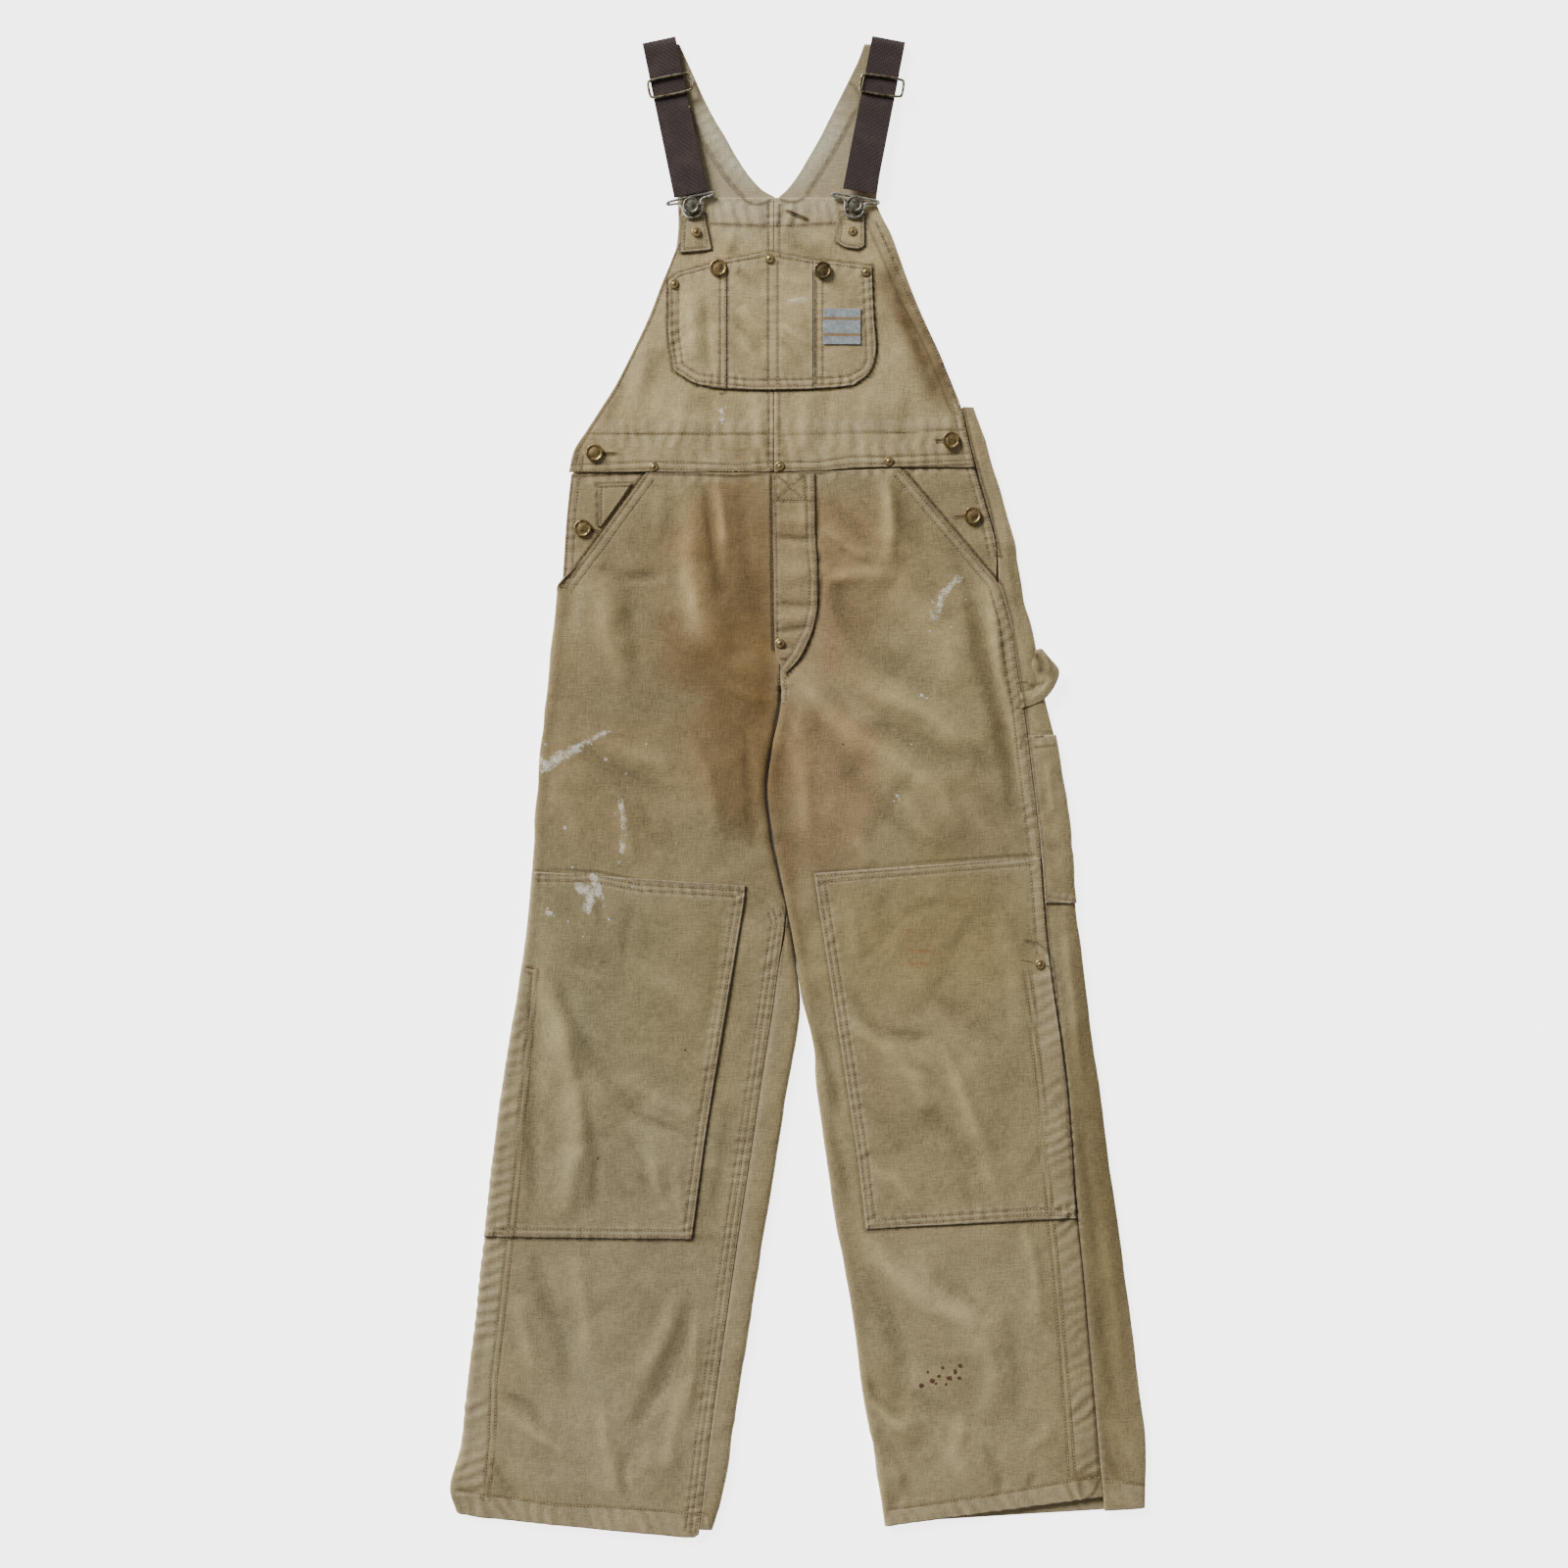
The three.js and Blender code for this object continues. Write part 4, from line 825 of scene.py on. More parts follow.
class Shader:
    """A material's nodes, made one by one."""

    def __init__(self, name, roughness, metallic=0.0, sheen=0.0):
        self.material = bpy.data.materials.new(name)
        self.material.use_nodes = True
        self.tree = self.material.node_tree
        self.skin = self.tree.nodes["Principled BSDF"]
        self.skin.inputs["Roughness"].default_value = roughness
        self.skin.inputs["Metallic"].default_value = metallic
        self.skin.inputs["Sheen Weight"].default_value = sheen
        self.place = self.node("ShaderNodeTexCoord").outputs["Object"]

    def node(self, kind, **settings):
        made = self.tree.nodes.new(kind)
        for key, value in settings.items():
            setattr(made, key, value)
        return made

    def put(self, socket, value):
        if isinstance(value, (int, float, tuple)):
            socket.default_value = value
        else:
            self.tree.links.new(value, socket)

    def scaled(self, x, y, z):
        made = self.node("ShaderNodeMapping")
        self.put(made.inputs["Vector"], self.place)
        made.inputs["Scale"].default_value = (x, y, z)
        return made.outputs["Vector"]

    def noise(self, scale, detail=3.0, place=None, rough=0.55):
        made = self.node("ShaderNodeTexNoise")
        self.put(made.inputs["Vector"], place or self.place)
        made.inputs["Scale"].default_value = scale
        made.inputs["Detail"].default_value = detail
        made.inputs["Roughness"].default_value = rough
        return made.outputs["Fac"]

    def carried(self, name):
        made = self.node("ShaderNodeAttribute", attribute_name=name)
        return made.outputs["Color"] if name == "tone" else made.outputs["Fac"]

    def maths(self, kind, a, b=0.5, c=None):
        made = self.node("ShaderNodeMath", operation=kind)
        self.put(made.inputs[0], a)
        self.put(made.inputs[1], b)
        if c is not None:
            self.put(made.inputs[2], c)
        return made.outputs[0]

    def span(self, value, low, high, start=0.0, end=1.0):
        made = self.node("ShaderNodeMapRange")
        self.put(made.inputs["Value"], value)
        for key, number in (("From Min", low), ("From Max", high), ("To Min", start), ("To Max", end)):
            made.inputs[key].default_value = number
        return made.outputs["Result"]

    def mix(self, share, a, b):
        made = self.node("ShaderNodeMix", data_type="RGBA")
        self.put(made.inputs["Factor"], share)
        self.put(made.inputs["A"], a)
        self.put(made.inputs["B"], b)
        return made.outputs["Result"]

    def bump(self, height, distance, strength=1.0, under=None):
        made = self.node("ShaderNodeBump")
        made.inputs["Distance"].default_value = distance
        made.inputs["Strength"].default_value = strength
        self.put(made.inputs["Height"], height)
        if under is not None:
            self.put(made.inputs["Normal"], under)
        return made.outputs["Normal"]

    def wave(self, axis, scale):
        """Fine threads that follow one another along an axis."""
        made = self.node("ShaderNodeSeparateXYZ")
        self.put(made.inputs[0], self.place)
        return self.maths("SINE", self.maths("MULTIPLY", made.outputs[axis], scale))

    def finished(self, colour, normal=None):
        self.put(self.skin.inputs["Base Color"], colour)
        if normal is not None:
            self.put(self.skin.inputs["Normal"], normal)
        return self.material


def duck_material():
    """Plain woven duck: fine threads and slubs, painted highlight and wear on its crease ridges, painted
    shade in its troughs, and painted shade at its stitches and under overlapping edges.
    """
    duck = Shader("washed_duck", roughness=0.93, sheen=0.02)
    broad = duck.noise(22.0, 4.0)
    middle = duck.noise(95.0, 4.0)
    warp = duck.noise(1.0, 2.0, duck.scaled(1500.0, 130.0, 900.0))
    weft = duck.noise(1.0, 2.0, duck.scaled(130.0, 1500.0, 900.0))
    slub = duck.maths("ADD", warp, weft)
    shade = 1.0
    for part in (
        duck.span(broad, 0.3, 0.7, -0.06, 0.06),
        duck.span(middle, 0.3, 0.7, -0.07, 0.07),
        duck.span(slub, 0.75, 1.25, -0.26, 0.26),
        # Crease height: ridges lighter as painted highlight and wear, troughs darker as painted shade.
        duck.span(duck.carried("rise"), -3.0, 3.6, -0.3, 0.34),
    ):
        shade = duck.maths("ADD", part, shade)
    made = duck.node("ShaderNodeVectorMath", operation="SCALE")
    duck.put(made.inputs[0], duck.carried("tone"))
    duck.put(made.inputs["Scale"], shade)
    colour = made.outputs["Vector"]
    rubbing = duck.span(duck.noise(260.0, 3.0), 0.35, 0.65, 0.35, 0.9)
    rubbed_pale = duck.maths("MULTIPLY", duck.carried("edge"), rubbing)
    colour = duck.mix(rubbed_pale, colour, rgba((204, 187, 154)))
    fray = duck.span(duck.noise(420.0, 2.0), 0.35, 0.65, 0.65, 1.0)
    # Painted shade at the stitches and under overlapping edges, broken up by the fray noise.
    seam_and_gap_shade = duck.maths("MULTIPLY", duck.span(duck.carried("seam"), 0.2, 1.6, 0.0, 1.0), fray)
    colour = duck.mix(seam_and_gap_shade, colour, rgba((68, 50, 28)))
    soil = duck.span(duck.noise(9.0, 5.0, rough=0.65), 0.52, 0.8, 0.0, 0.16)
    colour = duck.mix(soil, colour, rgba((122, 100, 72)))
    unfaded = duck.maths("MULTIPLY", duck.carried("inside"), 0.3)
    colour = duck.mix(unfaded, colour, rgba((172, 158, 130)))
    coarse_speck = duck.span(duck.noise(210.0, 3.0), 0.3, 0.7, -0.5, 0.5)
    fine_speck = duck.span(duck.noise(900.0, 2.0), 0.3, 0.7, -0.6, 0.6)
    broken = duck.maths("ADD", duck.maths("ADD", fine_speck, coarse_speck), 1.0)
    paint = duck.span(duck.maths("MULTIPLY", duck.carried("paint"), broken), 0.5, 0.95)
    colour = duck.mix(duck.maths("MULTIPLY", paint, 0.9), colour, rgba((230, 223, 204)))
    warp_threads = duck.maths("MULTIPLY", duck.wave(0, 5200.0), 0.5)
    weft_threads = duck.maths("MULTIPLY", duck.wave(1, 4700.0), 0.5)
    normal = duck.bump(duck.maths("ADD", warp_threads, weft_threads), 0.00012, 0.35)
    normal = duck.bump(slub, 0.0006, 0.6, normal)
    normal = duck.bump(middle, 0.002, 0.2, normal)
    return duck.finished(colour, normal)


washed_duck = duck_material()


def finish_cloth(piece, node, material=washed_duck):
    """Gives a cloth piece its material, ties it to the root body and hides the part it stands in for."""
    piece.data.materials.append(material)
    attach(piece, "root")
    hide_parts(node)


for side in ("left", "right"):
    node = "back_leg_" + side
    bands = {"across_bands": (3, 62), "along_bands": (14, 26)}
    wide = fine_grid(panel_grid(node, -1), step=4.2, fine=1.5, **bands)
    back_leg = cloth(node + "_duck", wide, -1, under=True, relief=0.8, rubbed=0.4)
    finish_cloth(back_leg, node)

# ---------------------------------------------------------------------------------------------
# High back. Two halves of duck joined up the middle, narrowing to the shoulder ends, with the
# edges of the V turned in and stitched down. Its inner face is what shows above the bib.
for side in ("left", "right"):
    node = "back_upper_" + side
    half = fine_grid(panel_grid(node, -1), step=1.9, fine=1.3, across_bands=(12, 22))
    high_back = cloth(node + "_duck", half, -1, relief=0.0)
    finish_cloth(high_back, node)

# ---------------------------------------------------------------------------------------------
# Front leg panels. Long cuts from waist seam to hem, with the slash opening cut from the hip.
# The broadest folds of the legs are theirs, and the layers above take the same folds.
for side in ("left", "right"):
    node = "front_leg_" + side
    bands = (34, 18) if side == "left" else (12, 34)
    long = fine_grid(panel_grid(node, 1), step=3.0, fine=1.5, across_bands=bands, along_bands=(6, 26))
    front_leg = cloth(node + "_duck", long, 1, rubbed=0.3)
    finish_cloth(front_leg, node)

# ---------------------------------------------------------------------------------------------
# Hip pieces. Side panels lie a layer lower, behind the slash openings, and carry the coin
# pocket on the wearer's right. The fly lies over the centre front seam, double stitched.
HIP_CUTS = {
    "side_panel_left": ((0.095, 0.11), 0.55),
    "side_panel_right": ((0.11, 0.115), 0.5),
    "coin_pocket": ((0.036, 0.043), 0.55),
    "fly": ((0.046, 0.198), 0.85),
}
for node, (flat, share) in HIP_CUTS.items():
    small = fine_grid(panel_grid(node, 1), step=2.2, fine=1.2)
    piece = cloth(node + "_duck", small, 1, relief=0.8, rubbed=0.45)
    finish_cloth(piece, node)

# ---------------------------------------------------------------------------------------------
# Bib. Two halves of duck with a felled centre seam, faced along the top, sides and waist. Its
# troughs are kept shallower than the legs'.
for side, flat, share in (("left", (0.204, 0.272), 0.68), ("right", (0.20, 0.272), 0.78)):
    node = "bib_" + side
    half = fine_grid(panel_grid(node, 1), step=2.6, fine=1.3, along_bands=(26, 26))
    bib = cloth(node + "_duck", half, 1, sink=2.2, rubbed=0.5)
    finish_cloth(bib, node)

# ---------------------------------------------------------------------------------------------
# Bib pocket in three parts, and the tabs that carry the strap buttons. All are single duck,
# turned in and stitched on to the bib. A tab's rows of points run from its top edge down.
TABS = {
    "strap_tab_left": [
        [(-97, 477.5), (-90, 478.5), (-83, 479.5), (-76, 480.5)],
        [(-98, 458), (-90, 459), (-80, 460), (-72, 461)],
        [(-98.5, 440), (-88, 440.5), (-78, 441.5), (-68, 443)],
    ],
    "strap_tab_right": [
        [(60, 482), (66, 481.5), (75, 480.5), (81.5, 479.5)],
        [(55, 468), (62, 467), (74, 466), (82, 465)],
        [(54, 451), (61.5, 446), (77, 444), (82, 447)],
    ],
}
POCKET_CUTS = {
    "bib_pocket_left": ((0.057, 0.126), 0.87),
    "bib_pocket_centre": ((0.084, 0.136), 0.96),
    "bib_pocket_right": ((0.061, 0.126), 0.9),
    "strap_tab_left": ((0.031, 0.041), 0.77),
    "strap_tab_right": ((0.028, 0.038), 0.85),
}


def from_crotch(x, y, height):
    """A place in millimetres from the crotch, at a height in metres, as a point in the frame."""
    return crotch[0] + x * MM, crotch[1] + y * MM, height


def tab_grid(node):
    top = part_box(node)[1][2]
    return np.array([[from_crotch(x, y, top) for x, y in row] for row in TABS[node]])


for node, (flat, share) in POCKET_CUTS.items():
    grid = tab_grid(node) if node in TABS else panel_grid(node, 1)
    small = fine_grid(grid, step=2.2, fine=1.2)
    piece = cloth(node + "_duck", small, 1, sink=2.2)
    finish_cloth(piece, node)

# ---------------------------------------------------------------------------------------------
# Double knees. A second layer of duck over each knee, double stitched on all its edges, that
# takes the creases of the leg below it.
for side in ("left", "right"):
    node = "knee_patch_" + side
    layer = fine_grid(panel_grid(node, 1), step=3.0, fine=1.4)
    knee = cloth(node + "_duck", layer, 1)
    finish_cloth(knee, node)

# ---------------------------------------------------------------------------------------------
# Tool pocket, which wraps from under the right leg on to the top, and the hammer loop, a
# folded band caught in the outseam that has twisted on itself.
pocket = fine_grid(panel_grid("tool_pocket", -1), step=2.6, fine=1.3, across_bands=(10, 34))
tool_pocket = cloth("tool_pocket_duck", pocket, -1, under=True)
finish_cloth(tool_pocket, "tool_pocket")
# The loop's rows of points, from where it leaves the leg, and the height of each row's crest.
LOOP = [
    ([(232, 19.5), (234, 10), (235, 1), (236, -8)], 7.9),
    ([(243, 21), (245, 13), (247, 5), (249, -4)], 8.3),
    ([(247, 25), (251, 18), (256.5, 10), (259.5, 2)], 9.4),
    ([(246, 30), (253, 25), (263, 20), (269, 15)], 11.5),
    ([(246, 36), (252, 33), (262, 31), (272.5, 29)], 13.2),
    ([(246, 42), (251, 42), (258, 41.5), (264, 41)], 11.6),
    ([(246, 49), (250, 50), (253, 50.5), (256, 51)], 9.2),
]
# The share of that height which each point of a row has.
LOOP_DROP = (0.55, 0.7, 1.0, 0.9)
band = np.array([
    [from_crotch(x, y, rise * drop * MM) for (x, y), drop in zip(row, LOOP_DROP)] for row, rise in LOOP
])
band = fine_grid(band[:, ::-1], step=1.5, fine=1.0)
hammer_loop = cloth("hammer_loop_duck", band, 1, relief=0.1, rubbed=0.3)
finish_cloth(hammer_loop, "hammer_loop")

# ---------------------------------------------------------------------------------------------
# Leg zips. Dark ribbed cotton tape, sewn in under the edge of each placket. Only a narrow line
# of it shows.
def zip_tape_material():
    tape = Shader("zip_tape", roughness=0.88)
    rib = tape.maths("SINE", tape.maths("MULTIPLY", tape.carried("along"), 3.3))
    grime = tape.span(tape.noise(260.0, 4.0), 0.3, 0.7)
    colour = tape.mix(grime, rgba((62, 52, 42)), rgba((98, 86, 68)))
    return tape.finished(colour, tape.bump(rib, 0.0003, 0.6))


def measured(piece, grid):
    """Keeps how far across and along its length each point of a narrow piece lies, in millimetres."""
    for name, axis in (("across", 1), ("along", 0)):
        spots = spots_along(grid, axis, MM)
        values = np.broadcast_to(spots[None, :] if axis else spots[:, None], grid.shape[:2])
        store(piece.data, name, np.tile(values.ravel(), 2))


zip_tape = zip_tape_material()
for side in ("left", "right"):
    node = "zip_" + side
    strip = fine_grid(panel_grid(node, 1, 1.2), step=1.6, fine=1.2, across_bands=(2, 2))
    tape_piece = cloth(node + "_tape", strip, 1, thickness=1.0, relief=0.4)
    measured(tape_piece, strip)
    finish_cloth(tape_piece, node, material=zip_tape)

# ---------------------------------------------------------------------------------------------
# Woven patch on the bib pocket. Pale blue-grey cloth with two ochre stripes, sewn on round its
# edge and soiled with wear.
def patch_material():
    patch = Shader("woven_patch", roughness=0.85)
    along = patch.carried("along")
    across = patch.carried("across")
    threads = [patch.maths("SINE", patch.maths("MULTIPLY", way, 9.0)) for way in (along, across)]
    weave = patch.maths("MULTIPLY", *threads)
    patchy = patch.span(patch.noise(420.0, 4.0), 0.35, 0.65)
    ground = patch.mix(patchy, rgba((158, 170, 178)), rgba((196, 204, 206)))
    bands = [patch.maths("COMPARE", along, centre, 1.6) for centre in (9.5, 25.5)]
    thinned = patch.span(patch.noise(700.0), 0.3, 0.5, 0.55, 1.0)
    stripe = patch.maths("MULTIPLY", patch.maths("MAXIMUM", *bands), thinned)
    colour = patch.mix(stripe, ground, rgba((172, 140, 92)))
    dirt = patch.span(patch.noise(120.0, 4.0), 0.45, 0.75, 0.0, 0.5)
    colour = patch.mix(dirt, colour, rgba((120, 112, 96)))
    return patch.finished(colour, patch.bump(weave, 0.0004, 0.7))


bands = {"across_bands": (3, 3), "along_bands": (3, 3)}
label_grid = fine_grid(panel_grid("woven_patch", 1, 0.8), step=1.0, fine=0.7, **bands)
woven_patch = cloth("woven_patch_cloth", label_grid, 1, thickness=0.7, relief=0.9)
measured(woven_patch, label_grid)
finish_cloth(woven_patch, "woven_patch",
    material=patch_material())

# ---------------------------------------------------------------------------------------------
# Elastic straps. Brown webbing, ribbed along its length, that runs from the high back through the
# slider to the buckle. The ribs' and picks' sizes are in millimetres.
def webbing_material():
    webbing = Shader("elastic_webbing", roughness=0.86, sheen=0.1)
    across = webbing.carried("across")
    along = webbing.carried("along")
    ribs = webbing.maths("SINE", webbing.maths("MULTIPLY", across, 2 * math.pi / 2.1))
    picks = webbing.maths("SINE", webbing.maths("MULTIPLY", along, 2 * math.pi / 1.25))
    weave = webbing.maths("ADD", webbing.maths("MULTIPLY", ribs, 0.5), picks)
    fuzz = webbing.noise(1300.0, 3.0)
    share = webbing.span(webbing.maths("ADD", webbing.maths("MULTIPLY", weave, 0.22), fuzz), 0.2, 0.9)
    colour = webbing.mix(share, rgba((38, 26, 24)), rgba((80, 62, 56)))
    faded = webbing.span(webbing.noise(55.0, 4.0), 0.45, 0.75, 0.0, 0.4)
    colour = webbing.mix(faded, colour, rgba((94, 77, 69)))
    return webbing.finished(colour, webbing.bump(weave, 0.0006, 0.75))


webbing = webbing_material()
for side in ("left", "right"):
    node = "strap_" + side
    band = fine_grid(panel_grid(node, 1, 1.6), step=1.5, fine=1.0, across_bands=(4, 4))
    elastic = cloth(node + "_webbing", band, 1, thickness=1.5, relief=0.25)
    measured(elastic, band)
    finish_cloth(elastic, node, material=webbing)


# ---------------------------------------------------------------------------------------------
# Sliders and buckles of bent round wire. The sliders are brown and the buckles nickel. Each buckle
# hooks over its strap button. Outlines are in millimetres from the middle of the piece.
def rounded(corners, times=3):
    """Cuts the corners of a closed outline until it runs smoothly."""
    outline = np.array(corners, float)
    for _ in range(times):
        after = np.roll(outline, -1, axis=0)
        pair = [0.75 * outline + 0.25 * after, 0.25 * outline + 0.75 * after]
        outline = np.stack(pair, 1).reshape(-1, 2)
    return outline


def plain_piece(name, points, faces, material, node):
    """A smooth piece that isn't cut from cloth. It stands in for a node, if it has one."""
    mesh = bpy.data.meshes.new(name)
    mesh.from_pydata([tuple(p) for p in points], [], [tuple(f) for f in faces])
    mesh.polygons.foreach_set("use_smooth", np.ones(len(faces), bool))
    mesh.materials.append(material)
    piece = placed(name, mesh)
    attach(piece, "root")
    if node:
        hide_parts(node)
    return piece


def worn_metal(name, bright, dull, roughness):
    metal = Shader(name, roughness=roughness, metallic=0.9)
    grain = metal.span(metal.noise(1500.0), 0.4, 0.6, -0.1, 0.1)
    tarnish = metal.span(metal.maths("ADD", metal.noise(240.0, 5.0), grain), 0.4, 0.62)
    metal.put(metal.skin.inputs["Roughness"], metal.span(tarnish, 0.0, 1.0, roughness, roughness + 0.3))
    colour = metal.mix(tarnish, rgba(bright), rgba(dull))
    return metal.finished(colour, metal.bump(metal.noise(900.0, 3.0), 0.0003, 0.4))


def wire_ring(path, level, radius, sides=12):
    """Round wire bent along a closed path, with its middle at one level, in metres."""
    ahead = np.roll(path, -1, axis=0) - np.roll(path, 1, axis=0)
    ahead /= np.linalg.norm(ahead, axis=1)[:, None]
    points = []
    for (px, py), (dx, dy) in zip(path, ahead):
        for angle in np.arange(sides) * math.pi / (sides / 2):
            reach = radius * math.cos(angle)
            points.append((px + dy * reach, py - dx * reach, level + radius * math.sin(angle)))
    faces = []
    for here in range(len(path)):
        after = (here + 1) % len(path)
        for s in range(sides):
            t = (s + 1) % sides
            faces.append((here * sides + s, after * sides + s, after * sides + t, here * sides + t))
    return points, faces


brown_wire = worn_metal("brown_wire", (150, 140, 116), (70, 60, 44), 0.4)
bright_wire = worn_metal("nickel_wire", (214, 211, 202), (122, 116, 104), 0.32)
SLIDER = [(-19, 9), (19, 9), (21, 6), (21, -6), (19, -9), (-19, -9), (-21, -6), (-21, 6)]
BUCKLE = [
    (-22, 2.4), (22, 2.4), (23.6, 0.7), (22, -1), (10.5, -1.6), (9, -6), (8.4, -13), (4.8, -17.8),
    (-4.8, -17.8), (-8.4, -13), (-9, -6), (-10.5, -1.6), (-22, -1), (-23.6, 0.7),
]
WIRES = {
    "slider_left": (SLIDER, 0.2, 1.3, brown_wire),
    "slider_right": (SLIDER, -0.15, 1.3, brown_wire),
    "buckle_left": (BUCKLE, 0.22, 1.35, bright_wire),
    "buckle_right": (BUCKLE, -0.18, 1.35, bright_wire),
}
for node, (corners, tilt, radius, metal) in WIRES.items():
    low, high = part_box(node)
    turn = np.array([[math.cos(tilt), math.sin(tilt)], [-math.sin(tilt), math.cos(tilt)]])
    path = rounded(corners) @ turn
    path -= (path.max(0) + path.min(0)) / 2
    path = path * MM + np.array([(low[0] + high[0]) / 2, (low[1] + high[1]) / 2])
    points, faces = wire_ring(path, (low[2] + high[2]) / 2, radius * MM)
    plain_piece(node + "_wire", points, faces, metal, node)

# ---------------------------------------------------------------------------------------------
# Tack buttons, strap buttons and rivets. All are pressed metal: brass gone brown, and grey for the
# strap buttons. Profiles are radius and height in millimetres, from the foot to the middle of the top.
brass = worn_metal("old_brass", (172, 148, 100), (84, 66, 42), 0.36)
copper = worn_metal("rivet_brass", (188, 166, 118), (110, 88, 56), 0.38)
dark_brass = worn_metal("dark_brass", (128, 108, 74), (48, 38, 26), 0.4)
grey_metal = worn_metal("grey_metal", (146, 140, 126), (62, 55, 44), 0.38)
BUTTON = [
    (0, 0), (5.8, 0), (6.4, 0.7), (8.2, 1.0), (8.6, 1.6), (8.6, 2.3), (8.1, 2.95), (7.4, 3.2),
    (6.8, 3.0), (6.3, 2.6), (5.4, 2.5), (4.2, 2.75), (2.4, 3.05), (0, 3.15),
]
STUD = [
    (0, 0), (3, 0), (3, 4.4), (6.6, 4.8), (8.0, 5.3), (8.3, 6.0), (8.2, 6.7), (7.6, 7.3),
    (6.9, 7.45), (6.3, 7.15), (5.6, 6.9), (4.0, 7.1), (2.0, 7.4), (0, 7.5),
]
RIVET = [
    (0, 0), (4.4, 0), (4.65, 0.35), (4.5, 0.75), (3.9, 1.0), (3.1, 0.85), (2.4, 0.75),
    (2.0, 1.05), (1.5, 1.45), (0, 1.6),
]


def turned(profile, middle, foot, sides=36):
    """A profile turned about an upright line, standing at a height in metres."""
    rings = profile[1:-1]
    points = [(middle[0], middle[1], foot + profile[0][1] * MM)]
    for radius, rise in rings:
        for s in range(sides):
            angle = 2 * math.pi * s / sides
            x = middle[0] + radius * MM * math.cos(angle)
            y = middle[1] + radius * MM * math.sin(angle)
            points.append((x, y, foot + rise * MM))
    points.append((middle[0], middle[1], foot + profile[-1][1] * MM))
    last = 1 + (len(rings) - 1) * sides
    faces = []
    for s in range(sides):
        t = (s + 1) % sides
        faces.append((0, 1 + t, 1 + s))
        for lower in range(1, last, sides):
            upper = lower + sides
            faces.append((lower + s, lower + t, upper + t, upper + s))
        faces.append((last + s, last + t, len(points) - 1))
    return points, faces


turned_nodes = [
    ("pocket_button_left", BUTTON, brass), ("side_button_left_upper", BUTTON, brass),
    ("side_button_left_lower", BUTTON, brass), ("side_button_right_upper", BUTTON, brass),
    ("side_button_right_lower", BUTTON, brass), ("pocket_button_right", BUTTON, dark_brass),
    ("strap_button_left", STUD, grey_metal), ("strap_button_right", STUD, grey_metal),
]
for place in (
    "pocket_left", "pocket_centre", "pocket_right", "tab_left", "tab_right", "waist_left",
    "waist_centre", "waist_right", "slash_right", "zip_right", "fly",
):
    turned_nodes.append(("rivet_" + place, RIVET, copper))
for node, profile, metal in turned_nodes:
    low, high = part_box(node)
    middle = ((low[0] + high[0]) / 2, (low[1] + high[1]) / 2)
    points, faces = turned(profile, middle, low[2])
    plain_piece(node + "_brass", points, faces, metal, node)

# ---------------------------------------------------------------------------------------------
# Stitching. Tan cotton thread in rows along every seam, bar tacks at the strained corners, and
# worked edges round the buttonholes. Each stitch is laid on the cloth beneath it.
def cloth_skin():
    points, faces, passed = [], [], 0
    for skin_points, skin_faces in skins:
        points.extend(skin_points.tolist())
        faces.extend((skin_faces + passed).tolist())
        passed += len(skin_points)
    return BVHTree.FromPolygons(points, faces)


skin = cloth_skin()


def laid_on_cloth(x, y, from_below=False):
    """The point of cloth above or below a place, with its normal."""
    start = Vector(from_crotch(x, y, -0.05 if from_below else 0.06))
    hit = skin.ray_cast(start, Vector((0, 0, 1 if from_below else -1)))
    if hit[0] is None:
        return None
    normal = hit[1] if (hit[1].z > 0) != from_below else -hit[1]
    return hit[0], normal


def stations(line, offset, pitch):
    """Places at even steps along a row set off to one side of a line, with the way the row runs."""
    corners = np.array(line, float)
    spots = np.concatenate([[0], np.cumsum(np.hypot(*np.diff(corners, axis=0).T))])
    reach = np.arange(pitch / 2, spots[-1], pitch)

    def at(far):
        return np.stack([np.interp(far, spots, corners[:, axis]) for axis in (0, 1)], 1)

    ahead = at(np.minimum(reach + 1.5, spots[-1])) - at(np.maximum(reach - 1.5, 0))
    ahead /= np.linalg.norm(ahead, axis=1)[:, None]
    place = at(reach) + offset * np.stack([-ahead[:, 1], ahead[:, 0]], 1)
    signed = off_line(line, place[:, 0], place[:, 1])[0]
    kept = np.abs(signed - offset) < 0.5
    return place[kept], ahead[kept]


# A stitch's corners: along as a share of its length, aside and up as shares of its width.
STITCH_CORNERS = [
    (-0.5, 0, 0.02), (-0.3, -0.5, 0.05), (-0.3, 0.5, 0.05), (-0.3, 0, 0.55),
    (0.3, -0.5, 0.05), (0.3, 0.5, 0.05), (0.3, 0, 0.55), (0.5, 0, 0.02),
]
STITCH_FACES = [(0, 1, 3), (0, 3, 2), (1, 4, 6, 3), (3, 6, 5, 2), (4, 7, 6), (6, 7, 5)]


def sewn(name, stitches, material, from_below=False):
    """One joined mesh of stitches, each given by its place, the way it runs, its length and width."""
    points, faces = [], []
    for x, y, dx, dy, length, width in stitches:
        found = laid_on_cloth(x, y, from_below)
        if found is None:
            continue
        place, normal = found
        if from_below:
            place.z = max(place.z, 0.5 * MM)
        ahead = Vector((dx, dy, 0))
        ahead = (ahead - normal * ahead.dot(normal)).normalized()
        aside = normal.cross(ahead)
        first = len(points)
        for along, across, rise in STITCH_CORNERS:
            corner = ahead * along * length + aside * across * width + normal * rise * width
            points.append(place + corner * MM)
        for face in STITCH_FACES:
            faces.append(tuple(first + i for i in face))
    return plain_piece(name, points, faces, material, None)


def thread_material(name, light, dark):
    thread = Shader(name, roughness=0.8)
    uneven = thread.maths("ADD", thread.noise(70.0, 3.0), thread.noise(1600.0, 2.0))
    return thread.finished(thread.mix(thread.span(uneven, 0.75, 1.25), rgba(dark), rgba(light)))


